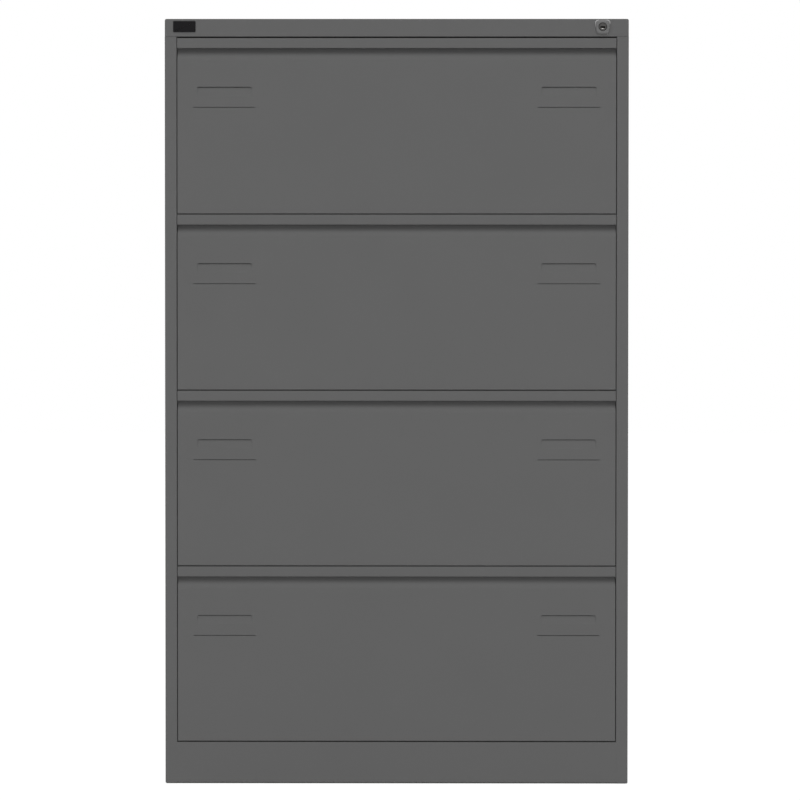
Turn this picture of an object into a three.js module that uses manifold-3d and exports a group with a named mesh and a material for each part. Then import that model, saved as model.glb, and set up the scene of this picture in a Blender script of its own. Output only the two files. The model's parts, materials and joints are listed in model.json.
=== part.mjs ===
// A steel filing cabinet with full-width drawers for two rows of hanging files, built from its real pieces.
// Millimetres, +Z up. The origin is on the floor under the middle of the case, and the drawers open towards -Y.
import * as THREE from "three";
import { mergeVertices } from "three/addons/utils/BufferGeometryUtils.js";
import Module from "manifold-3d";

const wasm = await Module();
wasm.setup();

// Case
const WIDTH = 800;
const DEPTH = 622;
const PLINTH_H = 72;
const FASCIA_H = 30.6;
const SHEET = 1;
const FOLD_R = 1.5;
const TOP_EDGE_R = 3;
const STILE_W = 20.25;
const STILE_RETURN = 18;
const REAR_RETURN = 20;
const FASCIA_LIP = 15;
const LID_RIB_W = 30;
const LID_RIB_H = 9;
const LID_RIB_FOOT = 10;
const LID_RIB_FROM_MIDDLE = 133;
const LID_RIB_FROM_END = 30;
const PLINTH_LIP = 15;
const PLINTH_SHELF = 32;
const BASE_FLANGE = 25;
const SWAGE_W = 40;
const SWAGE_DEPTH = 4;
const SWAGE_FROM_SIDE = 250;
const SEAM = 0.3;

// Glides
const GLIDE_STAND = 1.2;
const GLIDE_R = 14;
const GLIDE_STEM_R = 4;
const GLIDE_BARB_R = 5.2;
const GLIDE_BARB_H = 3;
const GLIDE_FROM_SIDE = 30;
const GLIDE_FROM_END = 45;
const GLIDE_FLANGE_W = 50;

// Uprights
const UPRIGHT_W = 40;
const UPRIGHT_FOOT = 10;
const UPRIGHT_PROUD = 1.25;
const UPRIGHT_FRONT_Y = 32;
const UPRIGHT_REAR_GAP = 70;

// Drawer fronts
const DRAWER_COUNT = 4;
const FRONT_H = 302.4;
const FRONT_T = 24;
const REVEAL = 1.6;
const TOP_REVEAL = 2.4;
const SIDE_REVEAL = 1.5;
const LIP_H = 17.6;
const LIP_HEM = 5;
const GRIP_H = 16.8;
const GRIP_TILT = 8;
const GRIP_R = 7.5;

// Label pockets
const LABEL_FROM_SIDE = 103;
const LABEL_DROP = 85.2;
const LABEL_H = 34.7;
const LABEL_TOP_W = 94.5;
const LABEL_BOTTOM_W = 107;
const LABEL_SLIT = 1.7;
const LABEL_RAMP_H = 15;
const LABEL_RAMP_DEPTH = 1.8;
const LABEL_CORNER_R = 3;

// Trays and hanging rails
const TRAY_SHEET = 0.8;
const TRAY_LIFT = 10;
const TRAY_TOP_DROP = 39.4;
const TRAY_REAR_GAP = 24;
const TRAY_FRONT_FLANGE = 16;
const BACK_FLANGE = 5;
const SHELF_W = 26;
const HANG_LIP = 8;
const RAIL_W = 17.2;
const RAIL_H = 24;
const RAIL_SHEET = 1.2;

// Slides
const SLIDE_H = 45.7;
const SLIDE_T = 12.4;
const SLIDE_SHEET = 1.2;
const SLIDE_RUN = 0.4;
const SLIDE_STEP = 2.4;
const SLIDE_UP = 95;
const HOOK_H = 10;
const HOOK_T = 3;
const HOOK_REACH = 2.2;

// Lock
const LOCK_FROM_SIDE = 45.2;
const LOCK_FROM_TOP = 14.2;
const LOCK_FACE_W = 26.4;
const LOCK_FACE_H = 25;
const LOCK_FACE_T = 4.6;
const LOCK_FACE_R = 6;
const LOCK_FACE_BEVEL = 1.2;
const LOCK_SLEEVE_R = 9.4;
const LOCK_SLEEVE_L = 16;
const LOCK_NUT_FLATS = 22;
const LOCK_NUT_T = 4;
const BARREL_R = 6.7;
const BARREL_PLAY = 0.25;
const BARREL_SET_IN = 0.6;
const KEYWAY_W = 7.4;
const KEYWAY_H = 2;
const KEYWAY_DEPTH = 9;
const TAIL_SQUARE = 7;
const TAIL_L = 6;
const CAM_T = 2.5;
const CAM_THROW = 8;
const CAM_EYE_R = 7;
const PIN_R = 2;
const PIN_PLAY = 0.6;

// Lock bar
const BAR_T = 3;
const BAR_W = 11;
const BAR_FROM_SIDE = 6;
const BAR_RUN = 0.5;
const BAR_ARM_H = 12;
const BAR_TAIL = 40;
const CATCH_H = 14;
const CATCH_W = 18;
const CATCH_UP = 46;
const CATCH_PLAY = 1.5;
const FINGER_H = 12;
const GUIDE_H = 16;
const GUIDE_T = 1.2;
const GUIDE_GRIP = 3;
const GUIDE_DROP = 60;

// Badge plate
const BADGE_W = 38.5;
const BADGE_H = 19;
const BADGE_T = 1.6;
const BADGE_FROM_SIDE = 14.8;
const BADGE_FROM_TOP = 4.2;
const BADGE_BEVEL = 0.5;

// How finely round shapes are cut
const FOLD_STEPS = 3;
const GRIP_STEPS = 6;
const ROUND_SIDES = 40;
const SMALL_SIDES = 20;

// Places that follow from the sizes
const HEIGHT = PLINTH_H + REVEAL + DRAWER_COUNT * (FRONT_H + REVEAL) - REVEAL + TOP_REVEAL + FASCIA_H;
const HALF = WIDTH / 2;
const FASCIA_Z = HEIGHT - FASCIA_H;
const CASE_INSIDE = HALF - SHEET - SEAM;
const BACK_Y = DEPTH - 2 * SHEET - SEAM;
const BASE_TOP = PLINTH_H - SHEET - SEAM;
const UPRIGHT_FACE = STILE_W + UPRIGHT_PROUD;
const UPRIGHT_REAR_Y = DEPTH - UPRIGHT_REAR_GAP - UPRIGHT_W;
const FRONT_HALF = HALF - STILE_W - SIDE_REVEAL;
const LINER_Y = FRONT_T + SEAM;
const TRAY_Y = LINER_Y + TRAY_SHEET + SEAM;
const TRAY_END = DEPTH - TRAY_REAR_GAP;
const SLIDE_START = UPRIGHT_FACE + SEAM;
const TRAY_HALF = HALF - SLIDE_START - SLIDE_T - SEAM;
const TRAY_TOP = FRONT_H - TRAY_TOP_DROP;
const SHELF_Z = TRAY_TOP - HANG_LIP;
const CATCH_Z = SLIDE_UP + CATCH_UP;
const LOCK_X = HALF - LOCK_FROM_SIDE;
const LOCK_Z = HEIGHT - LOCK_FROM_TOP;
const CAM_Y = LOCK_SLEEVE_L + 2 * SEAM;
const CAM_DROP = CAM_THROW * Math.SQRT1_2;
const BAR_BACK = UPRIGHT_FRONT_Y - BAR_RUN;
const BAR_FRONT = BAR_BACK - BAR_T;
const PIN_END = BAR_BACK + SEAM;

const drawerZ = (number) => FASCIA_Z - TOP_REVEAL - FRONT_H - (number - 1) * (FRONT_H + REVEAL);
const inFrom = (side, distance) => side * (HALF - distance);
const SIDES = [
  ["left", -1],
  ["right", 1],
];
const DRAWERS = Array.from({ length: DRAWER_COUNT }, (_, index) => index + 1);

// Finishes
const finish = (color, roughness, metalness) => new THREE.MeshStandardMaterial({ color, roughness, metalness });
const powderCoat = finish(0x616161, 0.55, 0);
const zincPlate = finish(0xb4b6b8, 0.35, 1);
const lockZinc = finish(0x8a8b8c, 0.35, 1);
const nickel = finish(0xc9c6bf, 0.2, 1);
const blackNylon = finish(0x1b1b1c, 0.6, 0);
const blackEnamel = finish(0x141314, 0.3, 0);

// A closed solid from a geometry whose shared corners are merged.
function solid(geometry) {
  geometry.deleteAttribute("normal");
  geometry.deleteAttribute("uv");
  const merged = mergeVertices(geometry, 1e-4);
  const vertProperties = merged.getAttribute("position").array;
  const triVerts = new Uint32Array(merged.index.array);
  return new wasm.Manifold(new wasm.Mesh({ numProp: 3, vertProperties, triVerts }));
}

// A named mesh of a solid.
function piece(name, body, material) {
  const { vertProperties, triVerts } = body.getMesh();
  const geometry = new THREE.BufferGeometry();
  geometry.setAttribute("position", new THREE.BufferAttribute(vertProperties, 3));
  geometry.setIndex(new THREE.BufferAttribute(triVerts, 1));
  geometry.computeVertexNormals();
  const mesh = new THREE.Mesh(geometry, material);
  mesh.name = name;
  return mesh;
}

// A group at a place, holding its members.
function groupAt(x, y, z, members) {
  const group = new THREE.Group();
  group.position.set(x, y, z);
  group.add(...members);
  return group;
}

const join = (first, ...others) => others.reduce((whole, other) => whole.add(other), first);
const cut = (first, ...others) => others.reduce((whole, other) => whole.subtract(other), first);

// A block between two opposite corners, given in any order along each axis.
function block([x0, x1], [y0, y1], [z0, z1]) {
  const box = new THREE.BoxGeometry(Math.abs(x1 - x0), Math.abs(y1 - y0), Math.abs(z1 - z0));
  return solid(box.translate((x0 + x1) / 2, (y0 + y1) / 2, (z0 + z1) / 2));
}

// A round bar along Y.
function bar(radius, y0, y1, x = 0, z = 0, sides = ROUND_SIDES) {
  const cylinder = new THREE.CylinderGeometry(radius, radius, y1 - y0, sides);
  return solid(cylinder.translate(x, (y0 + y1) / 2, z));
}

const outline = (points) => new THREE.Shape(points.map(([a, b]) => new THREE.Vector2(a, b)));

const AXIS = { x: new THREE.Vector3(1, 0, 0), y: new THREE.Vector3(0, 1, 0), z: new THREE.Vector3(0, 0, 1) };

// An outline drawn in the two other axes, in X, Y, Z order, and drawn out along one axis.
function prism(shape, axis, from, to, options = {}) {
  const geometry = new THREE.ExtrudeGeometry(shape, { depth: to - from, bevelEnabled: false, ...options });
  const place = new THREE.Matrix4();
  if (axis === "x") place.makeBasis(AXIS.y, AXIS.z, AXIS.x).setPosition(from, 0, 0);
  if (axis === "y") place.makeBasis(AXIS.x, AXIS.z, AXIS.y.clone().negate()).setPosition(0, to, 0);
  if (axis === "z") place.setPosition(0, 0, from);
  return solid(geometry.applyMatrix4(place));
}

// The outline of a sheet folded along its centre line, with every fold rounded to its own radius.
function foldedSheet(line, thickness, radii = FOLD_R, steps = FOLD_STEPS) {
  const corners = line.map(([a, b]) => new THREE.Vector2(a, b));
  const faces = { left: [], right: [] };
  const addPoint = (point, heading) => {
    const aside = new THREE.Vector2(-heading.y, heading.x).multiplyScalar(thickness / 2);
    faces.left.push(point.clone().add(aside));
    faces.right.push(point.clone().sub(aside));
  };
  corners.forEach((corner, index) => {
    const before = corners[index - 1];
    const after = corners[index + 1];
    if (!before || !after) {
      const heading = (after ?? corner).clone().sub(before ?? corner);
      addPoint(corner, heading.normalize());
      return;
    }
    const into = corner.clone().sub(before).normalize();
    const out = after.clone().sub(corner).normalize();
    const turn = Math.atan2(into.cross(out), into.dot(out));
    const radius = Array.isArray(radii) ? radii[index - 1] : radii;
    const count = Array.isArray(steps) ? steps[index - 1] : steps;
    const reach = radius * Math.tan(Math.abs(turn) / 2);
    const start = corner.clone().addScaledVector(into, -reach);
    const toCentre = new THREE.Vector2(-into.y, into.x).multiplyScalar(radius * Math.sign(turn));
    const centre = start.clone().add(toCentre);
    for (let step = 0; step <= count; step++) {
      const angle = (turn * step) / count;
      addPoint(start.clone().rotateAround(centre, angle), into.clone().rotateAround(new THREE.Vector2(), angle));
    }
  });
  return new THREE.Shape([...faces.left, ...faces.right.reverse()]);
}

// A rectangle around a centre, with every corner rounded.
function roundedRectangle(x, y, width, height, radius) {
  const [right, top] = [width / 2, height / 2];
  const shape = new THREE.Shape();
  shape.absarc(x + right - radius, y + top - radius, radius, 0, Math.PI / 2);
  shape.absarc(x - right + radius, y + top - radius, radius, Math.PI / 2, Math.PI);
  shape.absarc(x - right + radius, y - top + radius, radius, Math.PI, 1.5 * Math.PI);
  shape.absarc(x + right - radius, y - top + radius, radius, 1.5 * Math.PI, 2 * Math.PI);
  return shape;
}

// A rectangle whose two upper corners are rounded.
function roundTopped(left, right, bottom, top, radius) {
  const shape = new THREE.Shape();
  shape.moveTo(left, bottom);
  shape.lineTo(right, bottom);
  shape.absarc(right - radius, top - radius, radius, 0, Math.PI / 2);
  shape.absarc(left + radius, top - radius, radius, Math.PI / 2, Math.PI);
  return shape;
}

// The lid of the case: a pan with its fascia in front, skirts on the other sides, ribs below and a hole for the lock.
function topPanel() {
  const rounded = {
    bevelEnabled: true,
    bevelThickness: TOP_EDGE_R,
    bevelSize: TOP_EDGE_R,
    bevelOffset: -TOP_EDGE_R,
    bevelSegments: 4,
    curveSegments: 4,
  };
  const corner = TOP_EDGE_R + SHEET / 2;
  const plan = roundedRectangle(0, DEPTH / 2, WIDTH, DEPTH, corner);
  const outside = prism(plan, "z", FASCIA_Z - FASCIA_H, HEIGHT - TOP_EDGE_R, rounded);
  const below = block([-WIDTH, WIDTH], [-DEPTH, 2 * DEPTH], [0, FASCIA_Z]);
  const room = roundedRectangle(0, DEPTH / 2, WIDTH - 2 * SHEET, DEPTH - 2 * SHEET, corner - SHEET);
  const inside = prism(room, "z", FASCIA_Z - SHEET, HEIGHT - SHEET, { curveSegments: 4 });
  const lipHalf = HALF - STILE_W;
  const lip = block([-lipHalf, lipHalf], [SHEET / 2, FASCIA_LIP], [FASCIA_Z, FASCIA_Z + SHEET]);
  const lockHole = bar(LOCK_SLEEVE_R + SEAM, -SHEET, 2 * SHEET, LOCK_X, LOCK_Z);
  const pan = cut(outside, below, inside);
  const ribs = SIDES.map(([, side]) => lidRib(side * LID_RIB_FROM_MIDDLE));
  return cut(join(pan, lip, ...ribs), lockHole);
}

// A hat-shaped rib welded under the lid, from front to back.
function lidRib(x) {
  const under = HEIGHT - SHEET;
  const half = LID_RIB_W / 2;
  const line = [
    [x - half - LID_RIB_FOOT, under],
    [x - half, under],
    [x - half, under - LID_RIB_H],
    [x + half, under - LID_RIB_H],
    [x + half, under],
    [x + half + LID_RIB_FOOT, under],
  ];
  return prism(foldedSheet(line, SHEET), "y", LID_RIB_FROM_END, DEPTH - LID_RIB_FROM_END);
}

// One side of the case: a sheet folded into the front stile and the rear flange, with a flange at the foot.
function sidePanel(side) {
  const skin = [
    [inFrom(side, STILE_W - SHEET / 2), STILE_RETURN],
    [inFrom(side, STILE_W - SHEET / 2), SHEET / 2],
    [inFrom(side, SHEET / 2), SHEET / 2],
    [inFrom(side, SHEET / 2), DEPTH - SHEET / 2],
    [inFrom(side, REAR_RETURN), DEPTH - SHEET / 2],
  ];
  const wall = prism(foldedSheet(skin, SHEET), "z", GLIDE_STAND, FASCIA_Z - SEAM);
  const flangeY = [STILE_RETURN + SEAM, DEPTH - SHEET / 2];
  const flange = block(
    [inFrom(side, SHEET / 2), inFrom(side, GLIDE_FLANGE_W)],
    flangeY,
    [GLIDE_STAND, GLIDE_STAND + SHEET],
  );
  const holes = glidePlaces(side).map(([x, y]) => {
    const hole = new THREE.CylinderGeometry(GLIDE_STEM_R + SEAM, GLIDE_STEM_R + SEAM, 4 * SHEET, SMALL_SIDES);
    return solid(hole.rotateX(Math.PI / 2).translate(x, y, GLIDE_STAND));
  });
  return cut(join(wall, flange), ...holes);
}

const glidePlaces = (side) =>
  [GLIDE_FROM_END, DEPTH - GLIDE_FROM_END].map((y) => [inFrom(side, GLIDE_FROM_SIDE), y]);

// A moulded glide: a round pad on the floor with a stem that snaps through the foot flange.
function glide() {
  const padTop = GLIDE_STAND - SEAM;
  const barb = GLIDE_STAND + SHEET + SEAM;
  const profile = [
    [0, 0],
    [GLIDE_R - 1, 0],
    [GLIDE_R, padTop / 2],
    [GLIDE_R, padTop],
    [GLIDE_STEM_R, padTop],
    [GLIDE_STEM_R, barb],
    [GLIDE_BARB_R, barb],
    [GLIDE_STEM_R, barb + GLIDE_BARB_H],
    [0, barb + GLIDE_BARB_H],
  ];
  const lathe = new THREE.LatheGeometry(profile.map(([r, h]) => new THREE.Vector2(r, h)), SMALL_SIDES);
  return solid(lathe.rotateX(Math.PI / 2));
}

// The back sheet, with two upright swages pressed inwards to stiffen it.
function backPanel() {
  const middle = BACK_Y + SHEET / 2;
  const swage = (x) => [
    [x - SWAGE_W / 2 - SWAGE_DEPTH, middle],
    [x - SWAGE_W / 2, middle - SWAGE_DEPTH],
    [x + SWAGE_W / 2, middle - SWAGE_DEPTH],
    [x + SWAGE_W / 2 + SWAGE_DEPTH, middle],
  ];
  const edge = CASE_INSIDE - FOLD_R;
  const line = [
    [-edge, middle],
    ...swage(-HALF + SWAGE_FROM_SIDE),
    ...swage(HALF - SWAGE_FROM_SIDE),
    [edge, middle],
  ];
  return prism(foldedSheet(line, SHEET), "z", GLIDE_STAND + SHEET + SEAM, HEIGHT - SHEET - SEAM);
}

// The floor of the case, folded down along both sides.
function basePanel() {
  const edge = CASE_INSIDE - SHEET / 2;
  const top = BASE_TOP - SHEET / 2;
  const line = [
    [-edge, top - BASE_FLANGE],
    [-edge, top],
    [edge, top],
    [edge, top - BASE_FLANGE],
  ];
  return prism(foldedSheet(line, SHEET), "y", STILE_RETURN + SEAM, BACK_Y - SWAGE_DEPTH - SEAM);
}

// The plinth between the stiles: its face, a shelf over the base and a lip at the floor.
function plinthPanel() {
  const half = HALF - STILE_W - SEAM;
  const line = [
    [PLINTH_LIP, GLIDE_STAND + SHEET / 2],
    [SHEET / 2, GLIDE_STAND + SHEET / 2],
    [SHEET / 2, PLINTH_H - SHEET / 2],
    [PLINTH_SHELF, PLINTH_H - SHEET / 2],
  ];
  return prism(foldedSheet(line, SHEET), "x", -half, half);
}

// A top-hat upright on the side of the case, slotted for the hooks of every slide.
function upright(side, y) {
  const wall = SHEET + SEAM + SHEET / 2;
  const face = UPRIGHT_FACE - SHEET / 2;
  const line = [
    [inFrom(side, wall), y - UPRIGHT_FOOT],
    [inFrom(side, wall), y + SHEET / 2],
    [inFrom(side, face), y + SHEET / 2],
    [inFrom(side, face), y + UPRIGHT_W - SHEET / 2],
    [inFrom(side, wall), y + UPRIGHT_W - SHEET / 2],
    [inFrom(side, wall), y + UPRIGHT_W + UPRIGHT_FOOT],
  ];
  const hat = prism(foldedSheet(line, SHEET), "z", BASE_TOP + SEAM, HEIGHT - SHEET - SEAM);
  const slots = DRAWERS.map((number) => hook(side, y, SEAM).translate(0, 0, drawerZ(number) + SLIDE_UP));
  return cut(hat, ...slots);
}

// The hook of a slide at an upright, or with an allowance the slot that it drops into, at the height of the slide.
function hook(side, uprightY, allowance = 0) {
  const middle = uprightY + UPRIGHT_W / 2;
  const half = [HOOK_T / 2 + allowance, HOOK_H / 2 + allowance];
  return block(
    [inFrom(side, SLIDE_START + SLIDE_SHEET / 2), inFrom(side, UPRIGHT_FACE - SHEET - HOOK_REACH - allowance)],
    [middle - half[0], middle + half[0]],
    [-half[1], half[1]],
  );
}

// The hooked guides, lanced out of the front right upright, that the lock bar runs in.
function barGuides() {
  const low = BAR_FROM_SIDE - SLIDE_RUN;
  const high = BAR_FROM_SIDE + BAR_W + SLIDE_RUN;
  const jaw = BAR_FRONT - BAR_RUN;
  const atHeight = (z) =>
    [
      [low, -GUIDE_T, GUIDE_GRIP],
      [high, GUIDE_T, -GUIDE_GRIP],
    ].flatMap(([edge, outward, grip]) => {
      const across = [inFrom(1, edge), inFrom(1, edge + outward)];
      const over = [inFrom(1, edge + outward), inFrom(1, edge + grip)];
      const tall = [z - GUIDE_H / 2, z + GUIDE_H / 2];
      return [
        block(across, [jaw - GUIDE_T, UPRIGHT_FRONT_Y + SHEET / 2], tall),
        block(over, [jaw - GUIDE_T, jaw], tall),
      ];
    });
  return DRAWERS.flatMap((number) => atHeight(drawerZ(number) + CATCH_Z - GUIDE_DROP));
}

// The skin of a drawer front: one sheet folded into the face, the finger recess and the pull lip above it.
function drawerFront() {
  const mid = SHEET / 2;
  const tilt = THREE.MathUtils.degToRad(GRIP_TILT);
  const bendStart = FRONT_H - LIP_H - GRIP_H;
  const bendCorner = bendStart + GRIP_R * Math.tan(Math.PI / 4 - tilt / 2);
  const line = [
    [FRONT_T - mid, mid],
    [mid, mid],
    [mid, bendCorner],
    [FRONT_T - mid, bendCorner + (FRONT_T - SHEET) * Math.tan(tilt)],
    [FRONT_T - mid, FRONT_H - mid],
    [mid, FRONT_H - mid],
    [mid, FRONT_H - LIP_H + mid],
    [LIP_HEM, FRONT_H - LIP_H + mid],
  ];
  const radii = [FOLD_R, GRIP_R, FOLD_R, FOLD_R, FOLD_R, FOLD_R / 2];
  const steps = [FOLD_STEPS, GRIP_STEPS, FOLD_STEPS, FOLD_STEPS, FOLD_STEPS, FOLD_STEPS];
  const skin = prism(foldedSheet(line, SHEET, radii, steps), "x", -FRONT_HALF, FRONT_HALF);
  const cheek = outline([
    [mid, FOLD_R],
    [FOLD_R, mid],
    [FRONT_T - mid, mid],
    [FRONT_T - mid, FRONT_H - mid],
    [FOLD_R, FRONT_H - mid],
    [mid, FRONT_H - FOLD_R],
    [mid, FRONT_H - LIP_H + FOLD_R],
    [mid + GRIP_R, FRONT_H - LIP_H + mid],
  ]);
  cheek.absarc(mid + GRIP_R, bendStart, GRIP_R, Math.PI / 2, Math.PI);
  const cheeks = SIDES.map(([, side]) => {
    const ends = [side * FRONT_HALF, side * (FRONT_HALF - SHEET)];
    return prism(cheek, "x", Math.min(...ends), Math.max(...ends), { curveSegments: GRIP_STEPS });
  });
  return SIDES.reduce((front, [, side]) => labelPocket(front, inFrom(side, LABEL_FROM_SIDE)), join(skin, ...cheeks));
}

// A label pocket pressed into the skin: a ramp that dips behind a slit at its top, and a second slit below.
function labelPocket(front, x) {
  const top = FRONT_H - LABEL_DROP;
  const foot = top - LABEL_RAMP_H;
  const half = LABEL_TOP_W / 2;
  const across = (width) => [x - width / 2, x + width / 2];
  const through = [-SHEET, 2 * SHEET];
  const arch = roundTopped(x - half, x + half, foot, top + LABEL_SLIT, LABEL_CORNER_R);
  const window = prism(arch, "y", ...through, { curveSegments: FOLD_STEPS });
  const ramp = outline([
    [0, foot - SHEET / 2],
    [0, foot],
    [LABEL_RAMP_DEPTH, top],
    [LABEL_RAMP_DEPTH + SHEET, top],
    [SHEET, foot - SHEET / 2],
  ]);
  const cheek = outline([
    [0, foot],
    [0, top],
    [LABEL_RAMP_DEPTH + SHEET, top],
    [SHEET, foot],
  ]);
  const slit = block(across(LABEL_BOTTOM_W), through, [top - LABEL_H, top - LABEL_H + LABEL_SLIT]);
  return join(
    cut(front, window, slit),
    prism(ramp, "x", x - half - SHEET / 2, x + half + SHEET / 2),
    prism(cheek, "x", x - half - SHEET, x - half),
    prism(cheek, "x", x + half, x + half + SHEET),
  );
}

// The liner that closes the back of a drawer front, folded forwards along its foot.
function drawerLiner() {
  const y = LINER_Y + TRAY_SHEET / 2;
  const foot = SHEET + SEAM + TRAY_SHEET / 2;
  const half = FRONT_HALF - SHEET - SEAM;
  const line = [
    [y, FRONT_H - LIP_H / 2],
    [y, -SEAM + SHEET],
  ];
  const plate = prism(foldedSheet(line, TRAY_SHEET), "x", -half, half);
  const stiffener = foldedSheet(
    [
      [y - TRAY_SHEET / 4, foot],
      [FRONT_T / 2, foot],
    ],
    TRAY_SHEET,
  );
  return join(plate, prism(stiffener, "x", -half, half));
}

// A drawer tray: floor, walls and hanging lips folded from one sheet, with flanges at the front.
function drawerTray() {
  const half = TRAY_SHEET / 2;
  const wall = TRAY_HALF - half;
  const lip = TRAY_HALF - SHELF_W;
  const halfLine = [
    [lip, TRAY_TOP],
    [lip, SHELF_Z],
    [wall, SHELF_Z],
    [wall, TRAY_LIFT + half],
  ];
  const line = [...halfLine.map(([x, z]) => [-x, z]), ...halfLine.reverse()];
  const trough = prism(foldedSheet(line, TRAY_SHEET), "y", TRAY_Y, TRAY_END - TRAY_SHEET - SEAM);
  const flanges = SIDES.map(([, side]) =>
    block(
      [side * wall, side * (wall - TRAY_FRONT_FLANGE)],
      [TRAY_Y, TRAY_Y + TRAY_SHEET],
      [TRAY_LIFT + half, SHELF_Z],
    ),
  );
  return join(trough, ...flanges);
}

// The back of a tray, folded backwards along its top, with the channel that carries the inner hooks of both rows.
function backRail() {
  const half = RAIL_W / 2 - RAIL_SHEET / 2;
  const floor = TRAY_TOP - RAIL_H + RAIL_SHEET / 2;
  const line = [
    [-half, TRAY_TOP],
    [-half, floor],
    [half, floor],
    [half, TRAY_TOP],
  ];
  const y = TRAY_END - TRAY_SHEET / 2;
  const backLine = [
    [y, TRAY_LIFT],
    [y, TRAY_TOP - TRAY_SHEET / 2],
    [TRAY_END + BACK_FLANGE, TRAY_TOP - TRAY_SHEET / 2],
  ];
  const back = prism(foldedSheet(backLine, TRAY_SHEET), "x", -TRAY_HALF, TRAY_HALF);
  return join(back, prism(foldedSheet(line, RAIL_SHEET), "y", TRAY_Y, y));
}

// The channel of one slide member, open to the drawer or to the case.
function slideChannel(side, near, far, halfHeight, webAtNear) {
  const mid = SLIDE_SHEET / 2;
  const web = webAtNear ? near + mid : far - mid;
  const tip = webAtNear ? far : near;
  const line = [
    [inFrom(side, tip), halfHeight - mid],
    [inFrom(side, web), halfHeight - mid],
    [inFrom(side, web), -halfHeight + mid],
    [inFrom(side, tip), -halfHeight + mid],
  ];
  return prism(foldedSheet(line, SLIDE_SHEET, SLIDE_SHEET), "y", TRAY_Y, TRAY_END);
}

// The three members of a slide, each running inside the next, in the frame of the slide's own height.
function slideMembers(side) {
  const nest = SLIDE_SHEET + SLIDE_RUN;
  const end = SLIDE_START + SLIDE_T;
  const hooks = [UPRIGHT_FRONT_Y, UPRIGHT_REAR_Y].map((y) => hook(side, y));
  const outer = slideChannel(side, SLIDE_START, end - SLIDE_STEP, SLIDE_H / 2, true);
  const middle = slideChannel(side, SLIDE_START + SLIDE_STEP, end - SLIDE_STEP, SLIDE_H / 2 - nest, true);
  const inner = slideChannel(side, SLIDE_START + 2 * SLIDE_STEP, end, SLIDE_H / 2 - 2 * nest, false);
  return { outer: join(outer, ...hooks), middle, inner: side > 0 ? join(inner, lockCatch(side)) : inner };
}

// The lock catch: a strip that rises from the web of an inner slide member, folded out behind the lock bar.
function lockCatch(side) {
  const web = SLIDE_START + SLIDE_T;
  const y = BAR_BACK + CATCH_PLAY;
  const top = CATCH_UP + CATCH_H;
  const strip = block([inFrom(side, web), inFrom(side, web - SLIDE_SHEET)], [y, y + CATCH_W], [0, top]);
  const plate = block(
    [inFrom(side, web), inFrom(side, SLIDE_START + SIDE_REVEAL)],
    [y, y + SLIDE_SHEET],
    [CATCH_UP, top],
  );
  return join(strip, plate);
}

// The lock body: a rounded face on the fascia and a sleeve through it, bored for the barrel.
function lockHousing() {
  const bevel = {
    bevelEnabled: true,
    bevelThickness: LOCK_FACE_BEVEL,
    bevelSize: LOCK_FACE_BEVEL,
    bevelOffset: -LOCK_FACE_BEVEL,
    bevelSegments: 2,
    curveSegments: 5,
  };
  const shape = roundedRectangle(0, 0, LOCK_FACE_W, LOCK_FACE_H, LOCK_FACE_R);
  const face = prism(shape, "y", -LOCK_FACE_T + LOCK_FACE_BEVEL, LOCK_FACE_BEVEL, bevel);
  const flatBack = block([-LOCK_FACE_W, LOCK_FACE_W], [-SEAM, 2 * LOCK_FACE_T], [-LOCK_FACE_H, LOCK_FACE_H]);
  const sleeve = bar(LOCK_SLEEVE_R, -LOCK_FACE_T / 2, LOCK_SLEEVE_L);
  const bore = bar(BARREL_R + BARREL_PLAY, -2 * LOCK_FACE_T, 2 * LOCK_SLEEVE_L);
  return cut(join(cut(face, flatBack), sleeve), bore);
}

// The nut that draws the lock body against the back of the fascia.
function lockNut() {
  const corner = LOCK_NUT_FLATS / Math.sqrt(3);
  const hexagon = Array.from({ length: 6 }, (_, index) => (index * Math.PI) / 3);
  const shape = outline(hexagon.map((angle) => [corner * Math.cos(angle), corner * Math.sin(angle)]));
  const y = SHEET + SEAM;
  return cut(prism(shape, "y", y, y + LOCK_NUT_T), bar(LOCK_SLEEVE_R + SEAM, 0, 2 * (y + LOCK_NUT_T)));
}

// The barrel that the key turns, with its keyway in front and a square tail for the cam.
function lockBarrel() {
  const front = -LOCK_FACE_T + BARREL_SET_IN;
  const plug = bar(BARREL_R, front, LOCK_SLEEVE_L + SEAM);
  const half = TAIL_SQUARE / 2;
  const tail = block([-half, half], [LOCK_SLEEVE_L, CAM_Y + CAM_T + TAIL_L / 2], [-half, half]);
  const keyway = block(
    [-KEYWAY_W / 2, KEYWAY_W / 2],
    [front - SHEET, front + KEYWAY_DEPTH],
    [-KEYWAY_H / 2, KEYWAY_H / 2],
  );
  return cut(join(plug, tail), keyway);
}

// The cam on the tail of the barrel, with the pin that lifts the lock bar.
function lockCam() {
  const hole = TAIL_SQUARE / 2 + SEAM;
  const eye = bar(CAM_EYE_R, CAM_Y, CAM_Y + CAM_T);
  const reach = bar(PIN_R + SLIDE_SHEET, CAM_Y, CAM_Y + CAM_T, CAM_DROP, -CAM_DROP, SMALL_SIDES);
  const pin = bar(PIN_R, CAM_Y, PIN_END, CAM_DROP, -CAM_DROP, SMALL_SIDES);
  return cut(join(eye.add(reach).hull(), pin), block([-hole, hole], [0, 2 * PIN_END], [-hole, hole]));
}

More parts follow.
